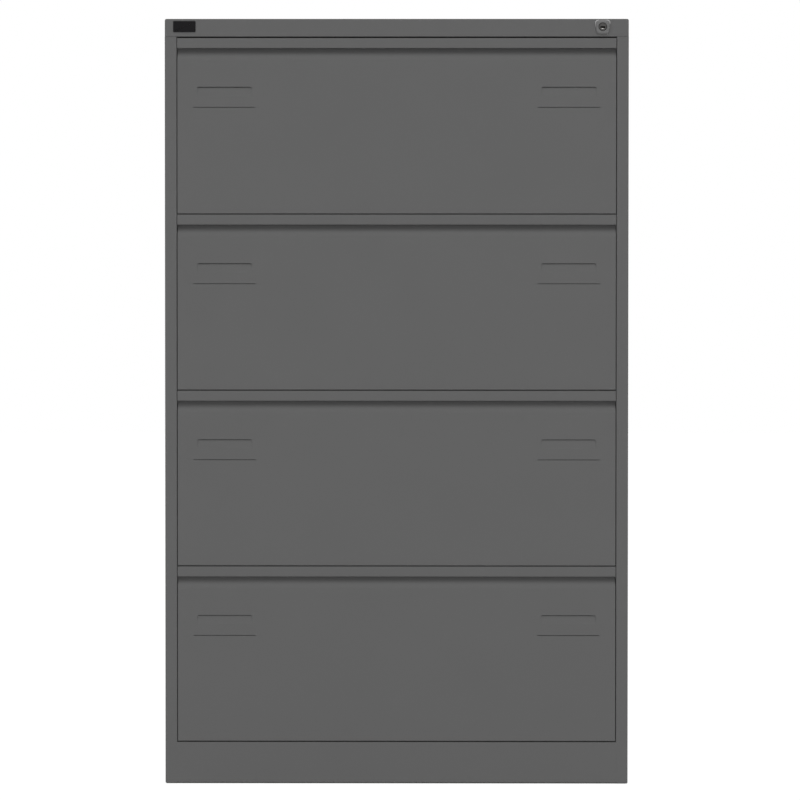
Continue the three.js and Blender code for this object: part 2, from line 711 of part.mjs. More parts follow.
// The flat bar behind the right stile: an arm that the cam lifts, and a finger below the catch of every drawer.
function lockBar() {
  const thick = [BAR_FRONT, BAR_BACK];
  const edges = [inFrom(1, BAR_FROM_SIDE), inFrom(1, BAR_FROM_SIDE + BAR_W)];
  const pinZ = LOCK_Z - CAM_DROP;
  const foot = drawerZ(DRAWER_COUNT) + CATCH_Z - GUIDE_DROP - BAR_TAIL;
  const strip = block(edges, thick, [foot, pinZ + BAR_ARM_H / 2]);
  const slotX = [LOCK_X + CAM_DROP - PIN_R - PIN_PLAY, LOCK_X + CAM_THROW + PIN_R + PIN_PLAY];
  const slotZ = PIN_R + PIN_PLAY;
  const arm = block([edges[0], slotX[0] - PIN_R], thick, [pinZ - BAR_ARM_H / 2, pinZ + BAR_ARM_H / 2]);
  const slot = block(slotX, [BAR_FRONT - SHEET, BAR_BACK + SHEET], [pinZ - slotZ, pinZ + slotZ]);
  const fingerTip = SLIDE_START + SLIDE_T - SLIDE_SHEET - CATCH_PLAY;
  const fingers = DRAWERS.map((number) => {
    const top = drawerZ(number) + CATCH_Z - CATCH_PLAY;
    return block([edges[0], inFrom(1, fingerTip)], thick, [top - FINGER_H, top]);
  });
  return cut(join(strip, arm, ...fingers), slot);
}

// A bare badge plate with a bevelled edge.
function badgePlate() {
  const shape = roundedRectangle(0, 0, BADGE_W - 2 * BADGE_BEVEL, BADGE_H - 2 * BADGE_BEVEL, BADGE_BEVEL);
  const bevel = { bevelEnabled: true, bevelThickness: BADGE_BEVEL, bevelSize: BADGE_BEVEL, bevelSegments: 1 };
  const depth = BADGE_T - 2 * BADGE_BEVEL - SEAM;
  const back = -SEAM - BADGE_BEVEL;
  return prism(shape, "y", back - depth, back, { ...bevel, curveSegments: 2 });
}

// The case and everything fixed to it
const guides = barGuides();
const uprights = SIDES.flatMap(([word, side]) => {
  const front = upright(side, UPRIGHT_FRONT_Y);
  return [
    piece(`upright_front_${word}`, side > 0 ? join(front, ...guides) : front, powderCoat),
    piece(`upright_rear_${word}`, upright(side, UPRIGHT_REAR_Y), powderCoat),
  ];
});
const glides = SIDES.flatMap(([word, side]) =>
  glidePlaces(side).map(([x, y], index) => {
    const end = ["front", "rear"][index];
    return groupAt(x, y, 0, [piece(`glide_${end}_${word}`, glide(), blackNylon)]);
  }),
);
const carcass = groupAt(0, 0, 0, [
  piece("top_panel", topPanel(), powderCoat),
  ...SIDES.map(([word, side]) => piece(`side_panel_${word}`, sidePanel(side), powderCoat)),
  piece("back_panel", backPanel(), powderCoat),
  piece("base_panel", basePanel(), powderCoat),
  piece("plinth_panel", plinthPanel(), powderCoat),
  ...uprights,
  ...glides,
]);

// The lock on the fascia, its bar behind the right stile, and the badge plate at the other end
const lock = groupAt(LOCK_X, 0, LOCK_Z, [
  piece("lock_housing", lockHousing(), lockZinc),
  piece("lock_nut", lockNut(), zincPlate),
  piece("lock_barrel", lockBarrel(), nickel),
  piece("lock_cam", lockCam(), zincPlate),
]);
const badge = groupAt(
  -HALF + BADGE_FROM_SIDE + BADGE_W / 2,
  0,
  HEIGHT - BADGE_FROM_TOP - BADGE_H / 2,
  [piece("badge_plate", badgePlate(), blackEnamel)],
);
const fittings = groupAt(0, 0, 0, [lock, badge, piece("lock_bar", lockBar(), zincPlate)]);

// The drawers, numbered from the top, each with its pair of slides
const shapes = { front: drawerFront(), liner: drawerLiner(), tray: drawerTray(), back_rail: backRail() };
const slides = SIDES.map(([word, side]) => [word, slideMembers(side)]);
const drawers = DRAWERS.map((number) => {
  const body = Object.entries(shapes).map(([part, shape]) => piece(`drawer_${number}_${part}`, shape, powderCoat));
  const members = slides.flatMap(([word, parts]) =>
    Object.entries(parts).map(([part, shape]) => piece(`slide_${number}_${word}_${part}`, shape, zincPlate)),
  );
  return groupAt(0, 0, drawerZ(number), [...body, groupAt(0, 0, SLIDE_UP, members)]);
});

const cabinet = new THREE.Group();
cabinet.add(groupAt(0, -DEPTH / 2, 0, [carcass, fittings, ...drawers]));

export default cabinet;
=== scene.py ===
"""Looks of a grey steel filing cabinet with full-width drawers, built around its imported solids.

Metres throughout, in the frame of the solids: the floor is z = 0 and the drawers open towards -Y.
Sizes in the classes of the cabinet are in millimetres, as on a drawing, and angles in degrees.
"""

import json
import logging
import math
from collections.abc import Callable, Iterable, Sequence
from dataclasses import dataclass
from enum import Enum
from typing import Any

import bmesh
import bpy
from bmesh.types import BMesh
from mathutils import Matrix, Vector


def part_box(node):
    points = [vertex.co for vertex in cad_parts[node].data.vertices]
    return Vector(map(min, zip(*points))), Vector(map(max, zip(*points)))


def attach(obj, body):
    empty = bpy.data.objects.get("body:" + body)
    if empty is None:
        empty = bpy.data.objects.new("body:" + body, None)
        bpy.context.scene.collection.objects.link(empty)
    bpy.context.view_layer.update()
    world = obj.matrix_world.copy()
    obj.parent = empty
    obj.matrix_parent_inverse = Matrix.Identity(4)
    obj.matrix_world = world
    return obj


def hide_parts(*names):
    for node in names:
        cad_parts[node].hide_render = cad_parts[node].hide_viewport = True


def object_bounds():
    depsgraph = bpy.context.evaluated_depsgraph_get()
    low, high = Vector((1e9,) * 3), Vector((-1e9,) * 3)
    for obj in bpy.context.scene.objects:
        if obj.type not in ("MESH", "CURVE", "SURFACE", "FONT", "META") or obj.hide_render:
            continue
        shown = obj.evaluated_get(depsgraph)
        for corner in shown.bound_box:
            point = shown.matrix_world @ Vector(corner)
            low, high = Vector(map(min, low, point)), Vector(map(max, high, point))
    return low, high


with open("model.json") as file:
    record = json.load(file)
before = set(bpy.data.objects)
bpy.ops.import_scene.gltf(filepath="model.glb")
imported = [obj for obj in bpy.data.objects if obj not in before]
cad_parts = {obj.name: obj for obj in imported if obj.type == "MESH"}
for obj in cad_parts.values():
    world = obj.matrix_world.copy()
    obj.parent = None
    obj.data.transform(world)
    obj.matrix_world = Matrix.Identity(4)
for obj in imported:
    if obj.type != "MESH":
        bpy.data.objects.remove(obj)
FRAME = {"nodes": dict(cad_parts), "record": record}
CAD_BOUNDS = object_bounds()
MM = 0.001
DRAWER_COUNT = 4
LOG = logging.getLogger("cabinet")


class Side(Enum):
    """The two sides of the cabinet, seen from the front."""

    LEFT = "left"
    RIGHT = "right"

    @property
    def sign(self) -> int:
        """-1 for the left, 1 for the right."""
        return -1 if self is Side.LEFT else 1


class Axis(Enum):
    """The way a lofted piece points."""

    FORWARD = Matrix.Rotation(math.pi / 2, 4, "X")
    BACKWARD = Matrix.Rotation(-math.pi / 2, 4, "X")
    LEFTWARD = Matrix.Rotation(-math.pi / 2, 4, "Y")
    RIGHTWARD = Matrix.Rotation(math.pi / 2, 4, "Y")


def linear(code: str) -> tuple[float, float, float, float]:
    """Turn an sRGB colour into linear light.

    Args:
        code: Six hex digits.

    Returns:
        Red, green, blue and an alpha of 1.
    """
    values = [int(code[i : i + 2], 16) / 255 for i in (0, 2, 4)]
    curved = [v / 12.92 if v <= 0.04045 else ((v + 0.055) / 1.055) ** 2.4 for v in values]
    return (*curved, 1.0)


def per_metre(size_mm: float) -> float:
    """The texture scale at which one cell of a pattern has this size."""
    return 1000.0 / size_mm


def add_node(
    tree: bpy.types.NodeTree,
    kind: str,
    inputs: dict[str, Any] | None = None,
    links: dict[str | int, bpy.types.NodeSocket] | None = None,
    **settings: Any,
) -> bpy.types.Node:
    """Add a node with its settings and links.

    Args:
        tree: The tree that gets the node.
        kind: The node's type name.
        inputs: Values of its input sockets.
        links: Output sockets that its input sockets take.
        **settings: Properties of the node.

    Returns:
        The new node.
    """
    node = tree.nodes.new(kind)
    for name, value in settings.items():
        setattr(node, name, value)
    for name, value in (inputs or {}).items():
        node.inputs[name].default_value = value
    for name, socket in (links or {}).items():
        tree.links.new(socket, node.inputs[name])
    return node


class Finish:
    """A surface finish that makes its material once and hands it out after that."""

    name: str
    slot: str

    def dress(self, tree: bpy.types.NodeTree, shader: bpy.types.Node, place: bpy.types.NodeSocket) -> None:
        """Set the shader and its patterns."""
        raise NotImplementedError

    def material(self) -> bpy.types.Material:
        """Make the material, or find it if it is there already.

        Returns:
            The material of this finish.
        """
        known = bpy.data.materials.get(self.name)
        if known:
            return known
        made = bpy.data.materials.new(self.name)
        made.use_nodes = True
        tree = made.node_tree
        tree.nodes.clear()
        shader = add_node(tree, "ShaderNodeBsdfPrincipled")
        add_node(tree, "ShaderNodeOutputMaterial", links={"Surface": shader.outputs["BSDF"]})
        place = add_node(tree, "ShaderNodeTexCoord").outputs["Object"]
        self.dress(tree, shader, place)
        return made


@dataclass(frozen=True)
class PowderCoat(Finish):
    """Epoxy powder baked on sheet steel.

    It gives an even satin grey with soft clouds and a faint orange peel. The peel of a real film is finer
    than the picture can show, so it is drawn coarser.
    """

    name: str = "powder_coated_steel"
    slot: str = "powder_coat"
    thin: str = "5c5c5c"
    thick: str = "5f5f5f"
    shine: float = 0.15
    roughness: tuple[float, float] = (0.54, 0.62)
    cloud_mm: float = 140.0
    peel_mm: float = 1.8
    peel_depth_mm: float = 0.04

    def dress(self, tree: bpy.types.NodeTree, shader: bpy.types.Node, place: bpy.types.NodeSocket) -> None:
        """Cloud the colour and roughness a little and raise the peel.

        Args:
            tree: The material's nodes.
            shader: Its shader.
            place: The object's own coordinates.
        """
        shader.inputs["Specular IOR Level"].default_value = self.shine
        cloud = add_node(
            tree,
            "ShaderNodeTexNoise",
            inputs={"Scale": per_metre(self.cloud_mm), "Detail": 3.0},
            links={"Vector": place},
        )
        tint = add_node(tree, "ShaderNodeMix", data_type="RGBA", links={"Factor": cloud.outputs["Fac"]})
        tint.inputs["A"].default_value = linear(self.thin)
        tint.inputs["B"].default_value = linear(self.thick)
        low, high = self.roughness
        sheen = add_node(
            tree,
            "ShaderNodeMapRange",
            inputs={"To Min": low, "To Max": high},
            links={"Value": cloud.outputs["Fac"]},
        )
        peel = add_node(
            tree,
            "ShaderNodeTexNoise",
            inputs={"Scale": per_metre(self.peel_mm), "Detail": 1.0},
            links={"Vector": place},
        )
        raised = add_node(
            tree,
            "ShaderNodeBump",
            inputs={"Strength": 0.25, "Distance": self.peel_depth_mm * MM},
            links={"Height": peel.outputs["Fac"]},
        )
        tree.links.new(tint.outputs["Result"], shader.inputs["Base Color"])
        tree.links.new(sheen.outputs["Result"], shader.inputs["Roughness"])
        tree.links.new(raised.outputs["Normal"], shader.inputs["Normal"])


@dataclass(frozen=True)
class ZincPlate(Finish):
    """Roll-formed steel with bright zinc.

    It gives a cool metal, streaked along the rolling and faintly yellow in places. Real streaks are finer
    than the picture can show, so they are drawn coarser.
    """

    name: str = "zinc_plated_steel"
    slot: str = "slide_zinc"
    blue: str = "b2b6ba"
    yellow: str = "bdb9aa"
    roughness: tuple[float, float] = (0.26, 0.42)
    bloom_mm: float = 35.0
    streak_mm: tuple[float, float] = (1.2, 90.0)
    streak_depth_mm: float = 0.02

    def dress(self, tree: bpy.types.NodeTree, shader: bpy.types.Node, place: bpy.types.NodeSocket) -> None:
        """Streak the metal along Y, the way the sheet was rolled.

        Args:
            tree: The material's nodes.
            shader: Its shader.
            place: The object's own coordinates.
        """
        shader.inputs["Metallic"].default_value = 1.0
        across, along = self.streak_mm
        stretched = add_node(
            tree,
            "ShaderNodeMapping",
            inputs={"Scale": (per_metre(across), per_metre(along), per_metre(across))},
            links={"Vector": place},
        )
        streak = add_node(
            tree,
            "ShaderNodeTexNoise",
            inputs={"Scale": 1.0, "Detail": 2.0},
            links={"Vector": stretched.outputs["Vector"]},
        )
        bloom = add_node(
            tree,
            "ShaderNodeTexNoise",
            inputs={"Scale": per_metre(self.bloom_mm), "Detail": 2.0},
            links={"Vector": place},
        )
        tint = add_node(tree, "ShaderNodeMix", data_type="RGBA", links={"Factor": bloom.outputs["Fac"]})
        tint.inputs["A"].default_value = linear(self.blue)
        tint.inputs["B"].default_value = linear(self.yellow)
        low, high = self.roughness
        sheen = add_node(
            tree,
            "ShaderNodeMapRange",
            inputs={"To Min": low, "To Max": high},
            links={"Value": streak.outputs["Fac"]},
        )
        raised = add_node(
            tree,
            "ShaderNodeBump",
            inputs={"Strength": 0.15, "Distance": self.streak_depth_mm * MM},
            links={"Height": streak.outputs["Fac"]},
        )
        tree.links.new(tint.outputs["Result"], shader.inputs["Base Color"])
        tree.links.new(sheen.outputs["Result"], shader.inputs["Roughness"])
        tree.links.new(raised.outputs["Normal"], shader.inputs["Normal"])


@dataclass(frozen=True)
class Lacquer(Finish):
    """Enamel sprayed on a die-cast or pressed piece.

    It gives an even colour under a soft gloss, with the slow waves of a film that flowed before it set.
    """

    name: str = "die_cast_enamel"
    slot: str = "lock_face"
    colour: str = "5e5e5e"
    shade: str = "666666"
    roughness: float = 0.32
    shine: float = 0.35
    gloss: float = 0.1
    gloss_roughness: float = 0.15
    flow_mm: float = 6.0
    flow_depth_mm: float = 0.05

    def dress(self, tree: bpy.types.NodeTree, shader: bpy.types.Node, place: bpy.types.NodeSocket) -> None:
        """Give the coat its gloss and its waves.

        Args:
            tree: The material's nodes.
            shader: Its shader.
            place: The object's own coordinates.
        """
        shader.inputs["Roughness"].default_value = self.roughness
        shader.inputs["Specular IOR Level"].default_value = self.shine
        shader.inputs["Coat Weight"].default_value = self.gloss
        shader.inputs["Coat Roughness"].default_value = self.gloss_roughness
        flow = add_node(
            tree,
            "ShaderNodeTexNoise",
            inputs={"Scale": per_metre(self.flow_mm), "Detail": 2.0},
            links={"Vector": place},
        )
        tint = add_node(tree, "ShaderNodeMix", data_type="RGBA", links={"Factor": flow.outputs["Fac"]})
        tint.inputs["A"].default_value = linear(self.colour)
        tint.inputs["B"].default_value = linear(self.shade)
        raised = add_node(
            tree,
            "ShaderNodeBump",
            inputs={"Strength": 0.1, "Distance": self.flow_depth_mm * MM},
            links={"Height": flow.outputs["Fac"]},
        )
        tree.links.new(tint.outputs["Result"], shader.inputs["Base Color"])
        tree.links.new(raised.outputs["Normal"], shader.inputs["Normal"])


@dataclass(frozen=True)
class TurnedNickel(Finish):
    """Nickel on turned brass.

    It gives a warm grey metal, dulled in small patches by handling. The patches of a real plug are finer than
    the picture can show, so they are drawn coarser.
    """

    name: str = "nickel_plated_brass"
    slot: str = "lock_nickel"
    colour: str = "5a5958"
    shade: str = "484746"
    roughness: tuple[float, float] = (0.24, 0.4)
    grain_mm: float = 0.7

    def dress(self, tree: bpy.types.NodeTree, shader: bpy.types.Node, place: bpy.types.NodeSocket) -> None:
        """Dull the metal unevenly.

        Args:
            tree: The material's nodes.
            shader: Its shader.
            place: The object's own coordinates.
        """
        shader.inputs["Metallic"].default_value = 1.0
        grain = add_node(
            tree,
            "ShaderNodeTexNoise",
            inputs={"Scale": per_metre(self.grain_mm), "Detail": 2.0},
            links={"Vector": place},
        )
        tint = add_node(tree, "ShaderNodeMix", data_type="RGBA", links={"Factor": grain.outputs["Fac"]})
        tint.inputs["A"].default_value = linear(self.colour)
        tint.inputs["B"].default_value = linear(self.shade)
        low, high = self.roughness
        sheen = add_node(
            tree,
            "ShaderNodeMapRange",
            inputs={"To Min": low, "To Max": high},
            links={"Value": grain.outputs["Fac"]},
        )
        tree.links.new(tint.outputs["Result"], shader.inputs["Base Color"])
        tree.links.new(sheen.outputs["Result"], shader.inputs["Roughness"])


@dataclass(frozen=True)
class MouldedNylon(Finish):
    """Black injection-moulded nylon.

    It gives a matt, nearly black surface with the spark texture of its tool. A real spark texture is finer
    than the picture can show, so it is drawn coarser.
    """

    name: str = "moulded_black_nylon"
    slot: str = "glide_nylon"
    colour: str = "1b1b1c"
    shade: str = "232324"
    roughness: float = 0.6
    spark_mm: float = 0.6
    spark_depth_mm: float = 0.03

    def dress(self, tree: bpy.types.NodeTree, shader: bpy.types.Node, place: bpy.types.NodeSocket) -> None:
        """Raise the spark texture.

        Args:
            tree: The material's nodes.
            shader: Its shader.
            place: The object's own coordinates.
        """
        shader.inputs["Roughness"].default_value = self.roughness
        spark = add_node(
            tree,
            "ShaderNodeTexNoise",
            inputs={"Scale": per_metre(self.spark_mm), "Detail": 3.0},
            links={"Vector": place},
        )
        tint = add_node(tree, "ShaderNodeMix", data_type="RGBA", links={"Factor": spark.outputs["Fac"]})
        tint.inputs["A"].default_value = linear(self.colour)
        tint.inputs["B"].default_value = linear(self.shade)
        raised = add_node(
            tree,
            "ShaderNodeBump",
            inputs={"Strength": 0.3, "Distance": self.spark_depth_mm * MM},
            links={"Height": spark.outputs["Fac"]},
        )
        tree.links.new(tint.outputs["Result"], shader.inputs["Base Color"])
        tree.links.new(raised.outputs["Normal"], shader.inputs["Normal"])


PAINT = PowderCoat()
ZINC = ZincPlate()
# Zinc on the parts behind the lock: the same metal as on the slides, a shade duller.
LOCK_ZINC = ZincPlate(name="zinc_plated_lock_parts", slot="lock_bar_zinc", blue="a4a7aa", yellow="b0aca0")
# Grey enamel on the lock's die-cast face: as dark as the sheets, with more gloss.
LOCK_ENAMEL = Lacquer()
# Black enamel on the pressed badge plate: nearly black, with hardly any shine.
BADGE_ENAMEL = Lacquer(
    name="black_enamel",
    slot="badge_enamel",
    colour="0e0d0f",
    shade="131214",
    shine=0.12,
    gloss=0.0,
    flow_mm=9.0,
)
# Light grey glossy enamel on the rim's upper corners: a painted highlight where light from above catches the
# rounded rim.
LOCK_RIM_HIGHLIGHT = Lacquer(
    name="painted_highlight_enamel",
    colour="bebebe",
    shade="cacaca",
    roughness=0.25,
    shine=0.5,
    gloss=0.3,
    flow_mm=3.0,
)
NICKEL = TurnedNickel()
# Pale bright nickel on the keyway's lower lip: a painted glint where the lip catches the light.
GLINT_NICKEL = TurnedNickel(name="painted_glint_nickel", colour="cfcecb", shade="bdbcb8")
# Brass wafers deep in the keyway, nearly black: the wafers are real, and their colour is painted shade of the
# deep keyway.
WAFER_BRASS = TurnedNickel(name="keyway_shade_brass", colour="1d1b17", shade="12110f")
NYLON = MouldedNylon()


def publish(
    bm: BMesh,
    name: str,
    body: str,
    finish: Finish,
    replaces: Iterable[str] = (),
) -> bpy.types.Object:
    """Turn a finished bmesh into a piece of the cabinet.

    Args:
        bm: The shape, in place. It is freed.
        name: The piece's name.
        body: The moving body that it rides on.
        finish: Its surface finish.
        replaces: Solids that it stands for.

    Returns:
        The new object.
    """
    mesh = bpy.data.meshes.new(name)
    bm.to_mesh(mesh)
    bm.free()
    piece = bpy.data.objects.new(name, mesh)
    bpy.context.scene.collection.objects.link(piece)
    piece.data.materials.append(finish.material())
    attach(piece, body)
    nodes = tuple(replaces)
    if nodes:
        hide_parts(*nodes)
    LOG.info("%s rides on %s with %d faces", name, body, len(mesh.polygons))
    return piece


def shade(bm: BMesh, sharp_degrees: float = 32.0) -> None:
    """Smooth every face and keep the sharper edges crisp.

    Args:
        bm: The shape.
        sharp_degrees: Edges that turn by this much or more stay crisp.
    """
    for face in bm.faces:
        face.smooth = True
    for edge in bm.edges:
        edge.smooth = edge.calc_face_angle(0.0) < math.radians(sharp_degrees)


def round_edges(bm: BMesh, edges: Sequence[bmesh.types.BMEdge], radius_mm: float, segments: int) -> None:
    """Round some edges of a shape.

    Args:
        bm: The shape.
        edges: The edges to round.
        radius_mm: How far the rounding reaches.
        segments: Facets of the rounding.
    """
    bmesh.ops.bevel(
        bm,
        geom=list(edges),
        offset=radius_mm * MM,
        offset_type="OFFSET",
        segments=segments,
        profile=0.5,
        affect="EDGES",
        material=-1,
        clamp_overlap=False,
        loop_slide=False,
    )


def body_of(node: str) -> str:
    """The moving body that a solid belongs to."""
    bodies = FRAME["record"]["behaviour"]["bodies"]
    return next(body for body, members in bodies.items() if node in members)


@dataclass(frozen=True)
class SheetRefiner:
    """Makes a finer copy of a folded sheet: merged, with its cut edges eased and its folds shaded round.

    Attributes:
        ease_mm: How far a cut edge is rounded.
        segments: Facets of that rounding.
        crisp_degrees: Edges that turn more than this are cut edges and not steps of a fold.
        flat_degrees: Faces that turn less than this are one flat face.
        touch_mm: Corners of the solid's triangles that lie this close are one.
        short_mm: Edges shorter than this close up before the easing.
        sliver_mm: Edges shorter than this close up after it.
        flat_weight: How much large faces say in the shading: 50 is even and 100 the most.
    """

    ease_mm: float = 0.2
    segments: int = 2
    crisp_degrees: float = 50.0
    flat_degrees: float = 0.4
    touch_mm: float = 0.02
    short_mm: float = 0.05
    sliver_mm: float = 0.01
    flat_weight: int = 80

    def merged(self, node: str) -> BMesh:
        """Copy a solid's shape and join its triangles into flat faces.

        Args:
            node: The solid.

        Returns:
            The copy.
        """
        bm = bmesh.new()
        bm.from_mesh(FRAME["nodes"][node].data)
        bmesh.ops.remove_doubles(bm, verts=bm.verts, dist=self.touch_mm * MM)
        flat = math.radians(self.flat_degrees)
        bmesh.ops.dissolve_limit(bm, angle_limit=flat, verts=bm.verts, edges=bm.edges)
        return bm

    @staticmethod
    def clean(bm: BMesh, least_mm: float) -> None:
        """Merge points that nearly touch, and drop flat faces, bare edges and points within an edge.

        Args:
            bm: The shape.
            least_mm: Edges shorter than this close up.
        """
        bmesh.ops.remove_doubles(bm, verts=bm.verts, dist=least_mm * MM)
        bmesh.ops.dissolve_degenerate(bm, dist=least_mm * MM, edges=bm.edges)
        loose = [e for e in bm.edges if not e.link_faces]
        bmesh.ops.delete(bm, geom=loose, context="EDGES")
        within = [v for v in bm.verts if len(v.link_edges) == 2]
        bmesh.ops.dissolve_verts(bm, verts=within)

    def ease(self, bm: BMesh) -> None:
        """Round the cut edges and shade the folds.

        Args:
            bm: The merged copy.
        """
        self.clean(bm, self.short_mm)
        limit = math.radians(self.crisp_degrees)
        cut = [e for e in bm.edges if e.is_convex and e.calc_face_angle(0.0) > limit]
        round_edges(bm, cut, self.ease_mm, self.segments)
        self.clean(bm, self.sliver_mm)
        shade(bm, self.crisp_degrees)

    def piece(
        self,
        node: str,
        finish: Finish,
        reshape: Callable[[BMesh], None] | None = None,
    ) -> bpy.types.Object:
        """Put the finer copy in the solid's place.

        Args:
            node: The solid.
            finish: The finish of the copy.
            reshape: What is done to the merged copy before its edges are eased.

        Returns:
            The new piece.
        """
        bm = self.merged(node)
        if reshape:
            reshape(bm)
        self.ease(bm)
        piece = publish(bm, f"{node}_skin", body_of(node), finish, replaces=(node,))
        weights = piece.modifiers.new("even_shading", "WEIGHTED_NORMAL")
        weights.keep_sharp = True
        weights.weight = self.flat_weight
        return piece


@dataclass(frozen=True)
class Ring:
    """One ring of a lofted piece, in millimetres.

    Attributes:
        along: Where the ring lies on the piece's own axis.
        half_width: Half its width.
        half_height: Half its height, or its width again if left out.
        squareness: 1 for a diamond, 2 for an ellipse, more for a rounded rectangle.
        taper: How much wider the top is than the middle, as a share.
        lift: How far its middle lies above the axis.
    """

    along: float
    half_width: float
    half_height: float | None = None
    squareness: float = 2.0
    taper: float = 0.0
    lift: float = 0.0

    def point(self, turn: float) -> Vector:
        """Find a point of the ring.

        Args:
            turn: The angle round the axis, in radians.

        Returns:
            The point, in metres.
        """
        high = self.half_height if self.half_height is not None else self.half_width
        power = 2.0 / self.squareness
        cosine, sine = math.cos(turn), math.sin(turn)
        x = math.copysign(abs(cosine) ** power, cosine) * self.half_width
        y = math.copysign(abs(sine) ** power, sine)
        return Vector((x * (1.0 + self.taper * y), y * high + self.lift, self.along)) * MM


def loft(
    bm: BMesh,
    rings: Sequence[Ring],
    segments: int = 48,
    closed: bool = True,
) -> list[bmesh.types.BMVert]:
    """Extrude a circle through a row of rings.

    Args:
        bm: The bmesh that takes the shape.
        rings: The rings in order.
        segments: Corners of each ring.
        closed: Whether both ends get a face.

    Returns:
        The new vertices.
    """
    turn = bm.verts.layers.float.get("turn") or bm.verts.layers.float.new("turn")
    first = bmesh.ops.create_circle(bm, cap_ends=False, radius=1.0, segments=segments)["verts"]
    for vert in first:
        vert[turn] = math.atan2(vert.co.y, vert.co.x)
        vert.co = rings[0].point(vert[turn])
    edges = list(dict.fromkeys(edge for vert in first for edge in vert.link_edges))
    ends = list(edges)
    made = list(first)
    for ring in rings[1:]:
        grown = bmesh.ops.extrude_edge_only(bm, edges=edges)["geom"]
        verts = [item for item in grown if isinstance(item, bmesh.types.BMVert)]
        edges = [item for item in grown if isinstance(item, bmesh.types.BMEdge)]
        for vert in verts:
            vert.co = ring.point(vert[turn])
        made += verts
    if closed:
        bmesh.ops.holes_fill(bm, edges=ends, sides=0)
        bmesh.ops.holes_fill(bm, edges=edges, sides=0)
    faces = list(dict.fromkeys(face for vert in made for face in vert.link_faces))
    bmesh.ops.recalc_face_normals(bm, faces=faces)
    return made


def turned(rings: Sequence[Ring], axis: Axis, places: Iterable[Vector], segments: int = 48) -> BMesh:
    """Copies of a lofted shape at several places.

    Args:
        rings: The rings of the shape.
        axis: The way it points.
        places: Where its own origin goes, in metres.
        segments: Corners of each ring.

    Returns:
        A bmesh with all the copies.
    """
    bm = bmesh.new()
    for place in places:
        verts = loft(bm, rings, segments)
        bmesh.ops.transform(bm, matrix=Matrix.Translation(place) @ axis.value, verts=verts)
    shade(bm)
    return bm


@dataclass
class CaseShell:
    """The fixed case: lid, sides, back, base, plinth and the uprights that carry the slides.

    Attributes:
        weld_pitch: Distance between spot welds.
        weld_radius: Radius of a weld's mark.
        weld_inset: Distance of the welds from the cabinet's outer side.
        weld_profile: Height of the mark and its share of the radius, from the rim inwards.
        stile_width: Width of a front stile.
        stile_bend: How far the bend at its outer edge reaches.
        stile_return: How far its inner edge turns back.
        stile_reach: How far that edge is drawn out.
        stile_step: Height over which it comes out, above the plinth.
        plinth_end: Length of the plinth's end that is carried on.
        plinth_reach: How far it is carried.
        play: Room for rounding of the numbers.
        refiner: What makes the finer copies.
    """

    weld_pitch: float = 118.0
    weld_radius: float = 3.0
    weld_inset: float = 10.0
    weld_profile: tuple[tuple[float, float], ...] = ((-0.05, 1.0), (0.05, 0.88), (0.06, 0.74), (0.01, 0.5))
    stile_width: float = 20.25
    stile_bend: float = 3.0
    stile_return: float = 18.0
    stile_reach: float = 0.5
    stile_step: float = 1.0
    plinth_end: float = 0.5
    plinth_reach: float = 1.9
    play: float = 0.1
    refiner: SheetRefiner = SheetRefiner()

    def build(self) -> None:
        """Dress the sheets and mark the welds behind them."""
        sheets = ["top_panel", "back_panel", "base_panel"]
        self.refiner.piece("plinth_panel", PAINT, self.fill_plinth)
        for side in Side:
            self.refiner.piece(f"side_panel_{side.value}", PAINT, self.draw_stile)
            sheets += [f"upright_front_{side.value}", f"upright_rear_{side.value}"]
        for sheet in sheets:
            self.refiner.piece(sheet, PAINT)
        self.mark_welds()

    def draw_stile(self, bm: BMesh) -> None:
        """Draw the fold of a front stile out to a fine gap beside the drawers, above the plinth.

        Args:
            bm: The side panel.
        """
        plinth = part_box("plinth_panel")[1].z
        step = self.stile_step * MM
        for level in (plinth, plinth + step):
            geometry = [*bm.verts, *bm.edges, *bm.faces]
            bmesh.ops.bisect_plane(bm, geom=geometry, plane_co=(0.0, 0.0, level), plane_no=(0.0, 0.0, 1.0))
        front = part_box("side_panel_left")[0].y
        back = front + (self.stile_return + self.play) * MM
        inner = CAD_BOUNDS[1][0] - (self.stile_width - self.stile_bend) * MM
        for vert in bm.verts:
            in_fold = abs(vert.co.x) < inner and vert.co.y < back
            if in_fold and vert.co.z > plinth + step / 2:
                vert.co.x -= math.copysign(self.stile_reach * MM, vert.co.x)

    def fill_plinth(self, bm: BMesh) -> None:
        """Carry the plinth's ends into the folds of the stiles, as a weld that is ground flush does.

        Args:
            bm: The plinth panel.
        """
        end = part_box("plinth_panel")[1].x
        for vert in bm.verts:
            if abs(vert.co.x) > end - self.plinth_end * MM:
                vert.co.x += math.copysign(self.plinth_reach * MM, vert.co.x)

    def mark_welds(self) -> None:
        """Raise the faint rings that spot welding leaves on the rear flanges."""
        ring = [Ring(height, self.weld_radius * share) for height, share in self.weld_profile]
        for side in Side:
            low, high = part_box(f"side_panel_{side.value}")
            x = side.sign * (max(abs(low.x), abs(high.x)) - self.weld_inset * MM)
            count = int((high.z - low.z) / (self.weld_pitch * MM))
            heights = [low.z + (i + 0.5) * self.weld_pitch * MM for i in range(count)]
            places = [Vector((x, high.y, z)) for z in heights]
            bm = turned(ring, Axis.BACKWARD, places, segments=20)
            publish(bm, f"spot_welds_{side.value}", "carcass", PAINT)


@dataclass
class Glides:
    """The four moulded glides under the case."""

    refiner: SheetRefiner = SheetRefiner(ease_mm=0.5, segments=3)

    def build(self) -> None:
        """Dress each glide."""
        for end in ("front", "rear"):
            for side in Side:
                self.refiner.piece(f"glide_{end}_{side.value}", NYLON)


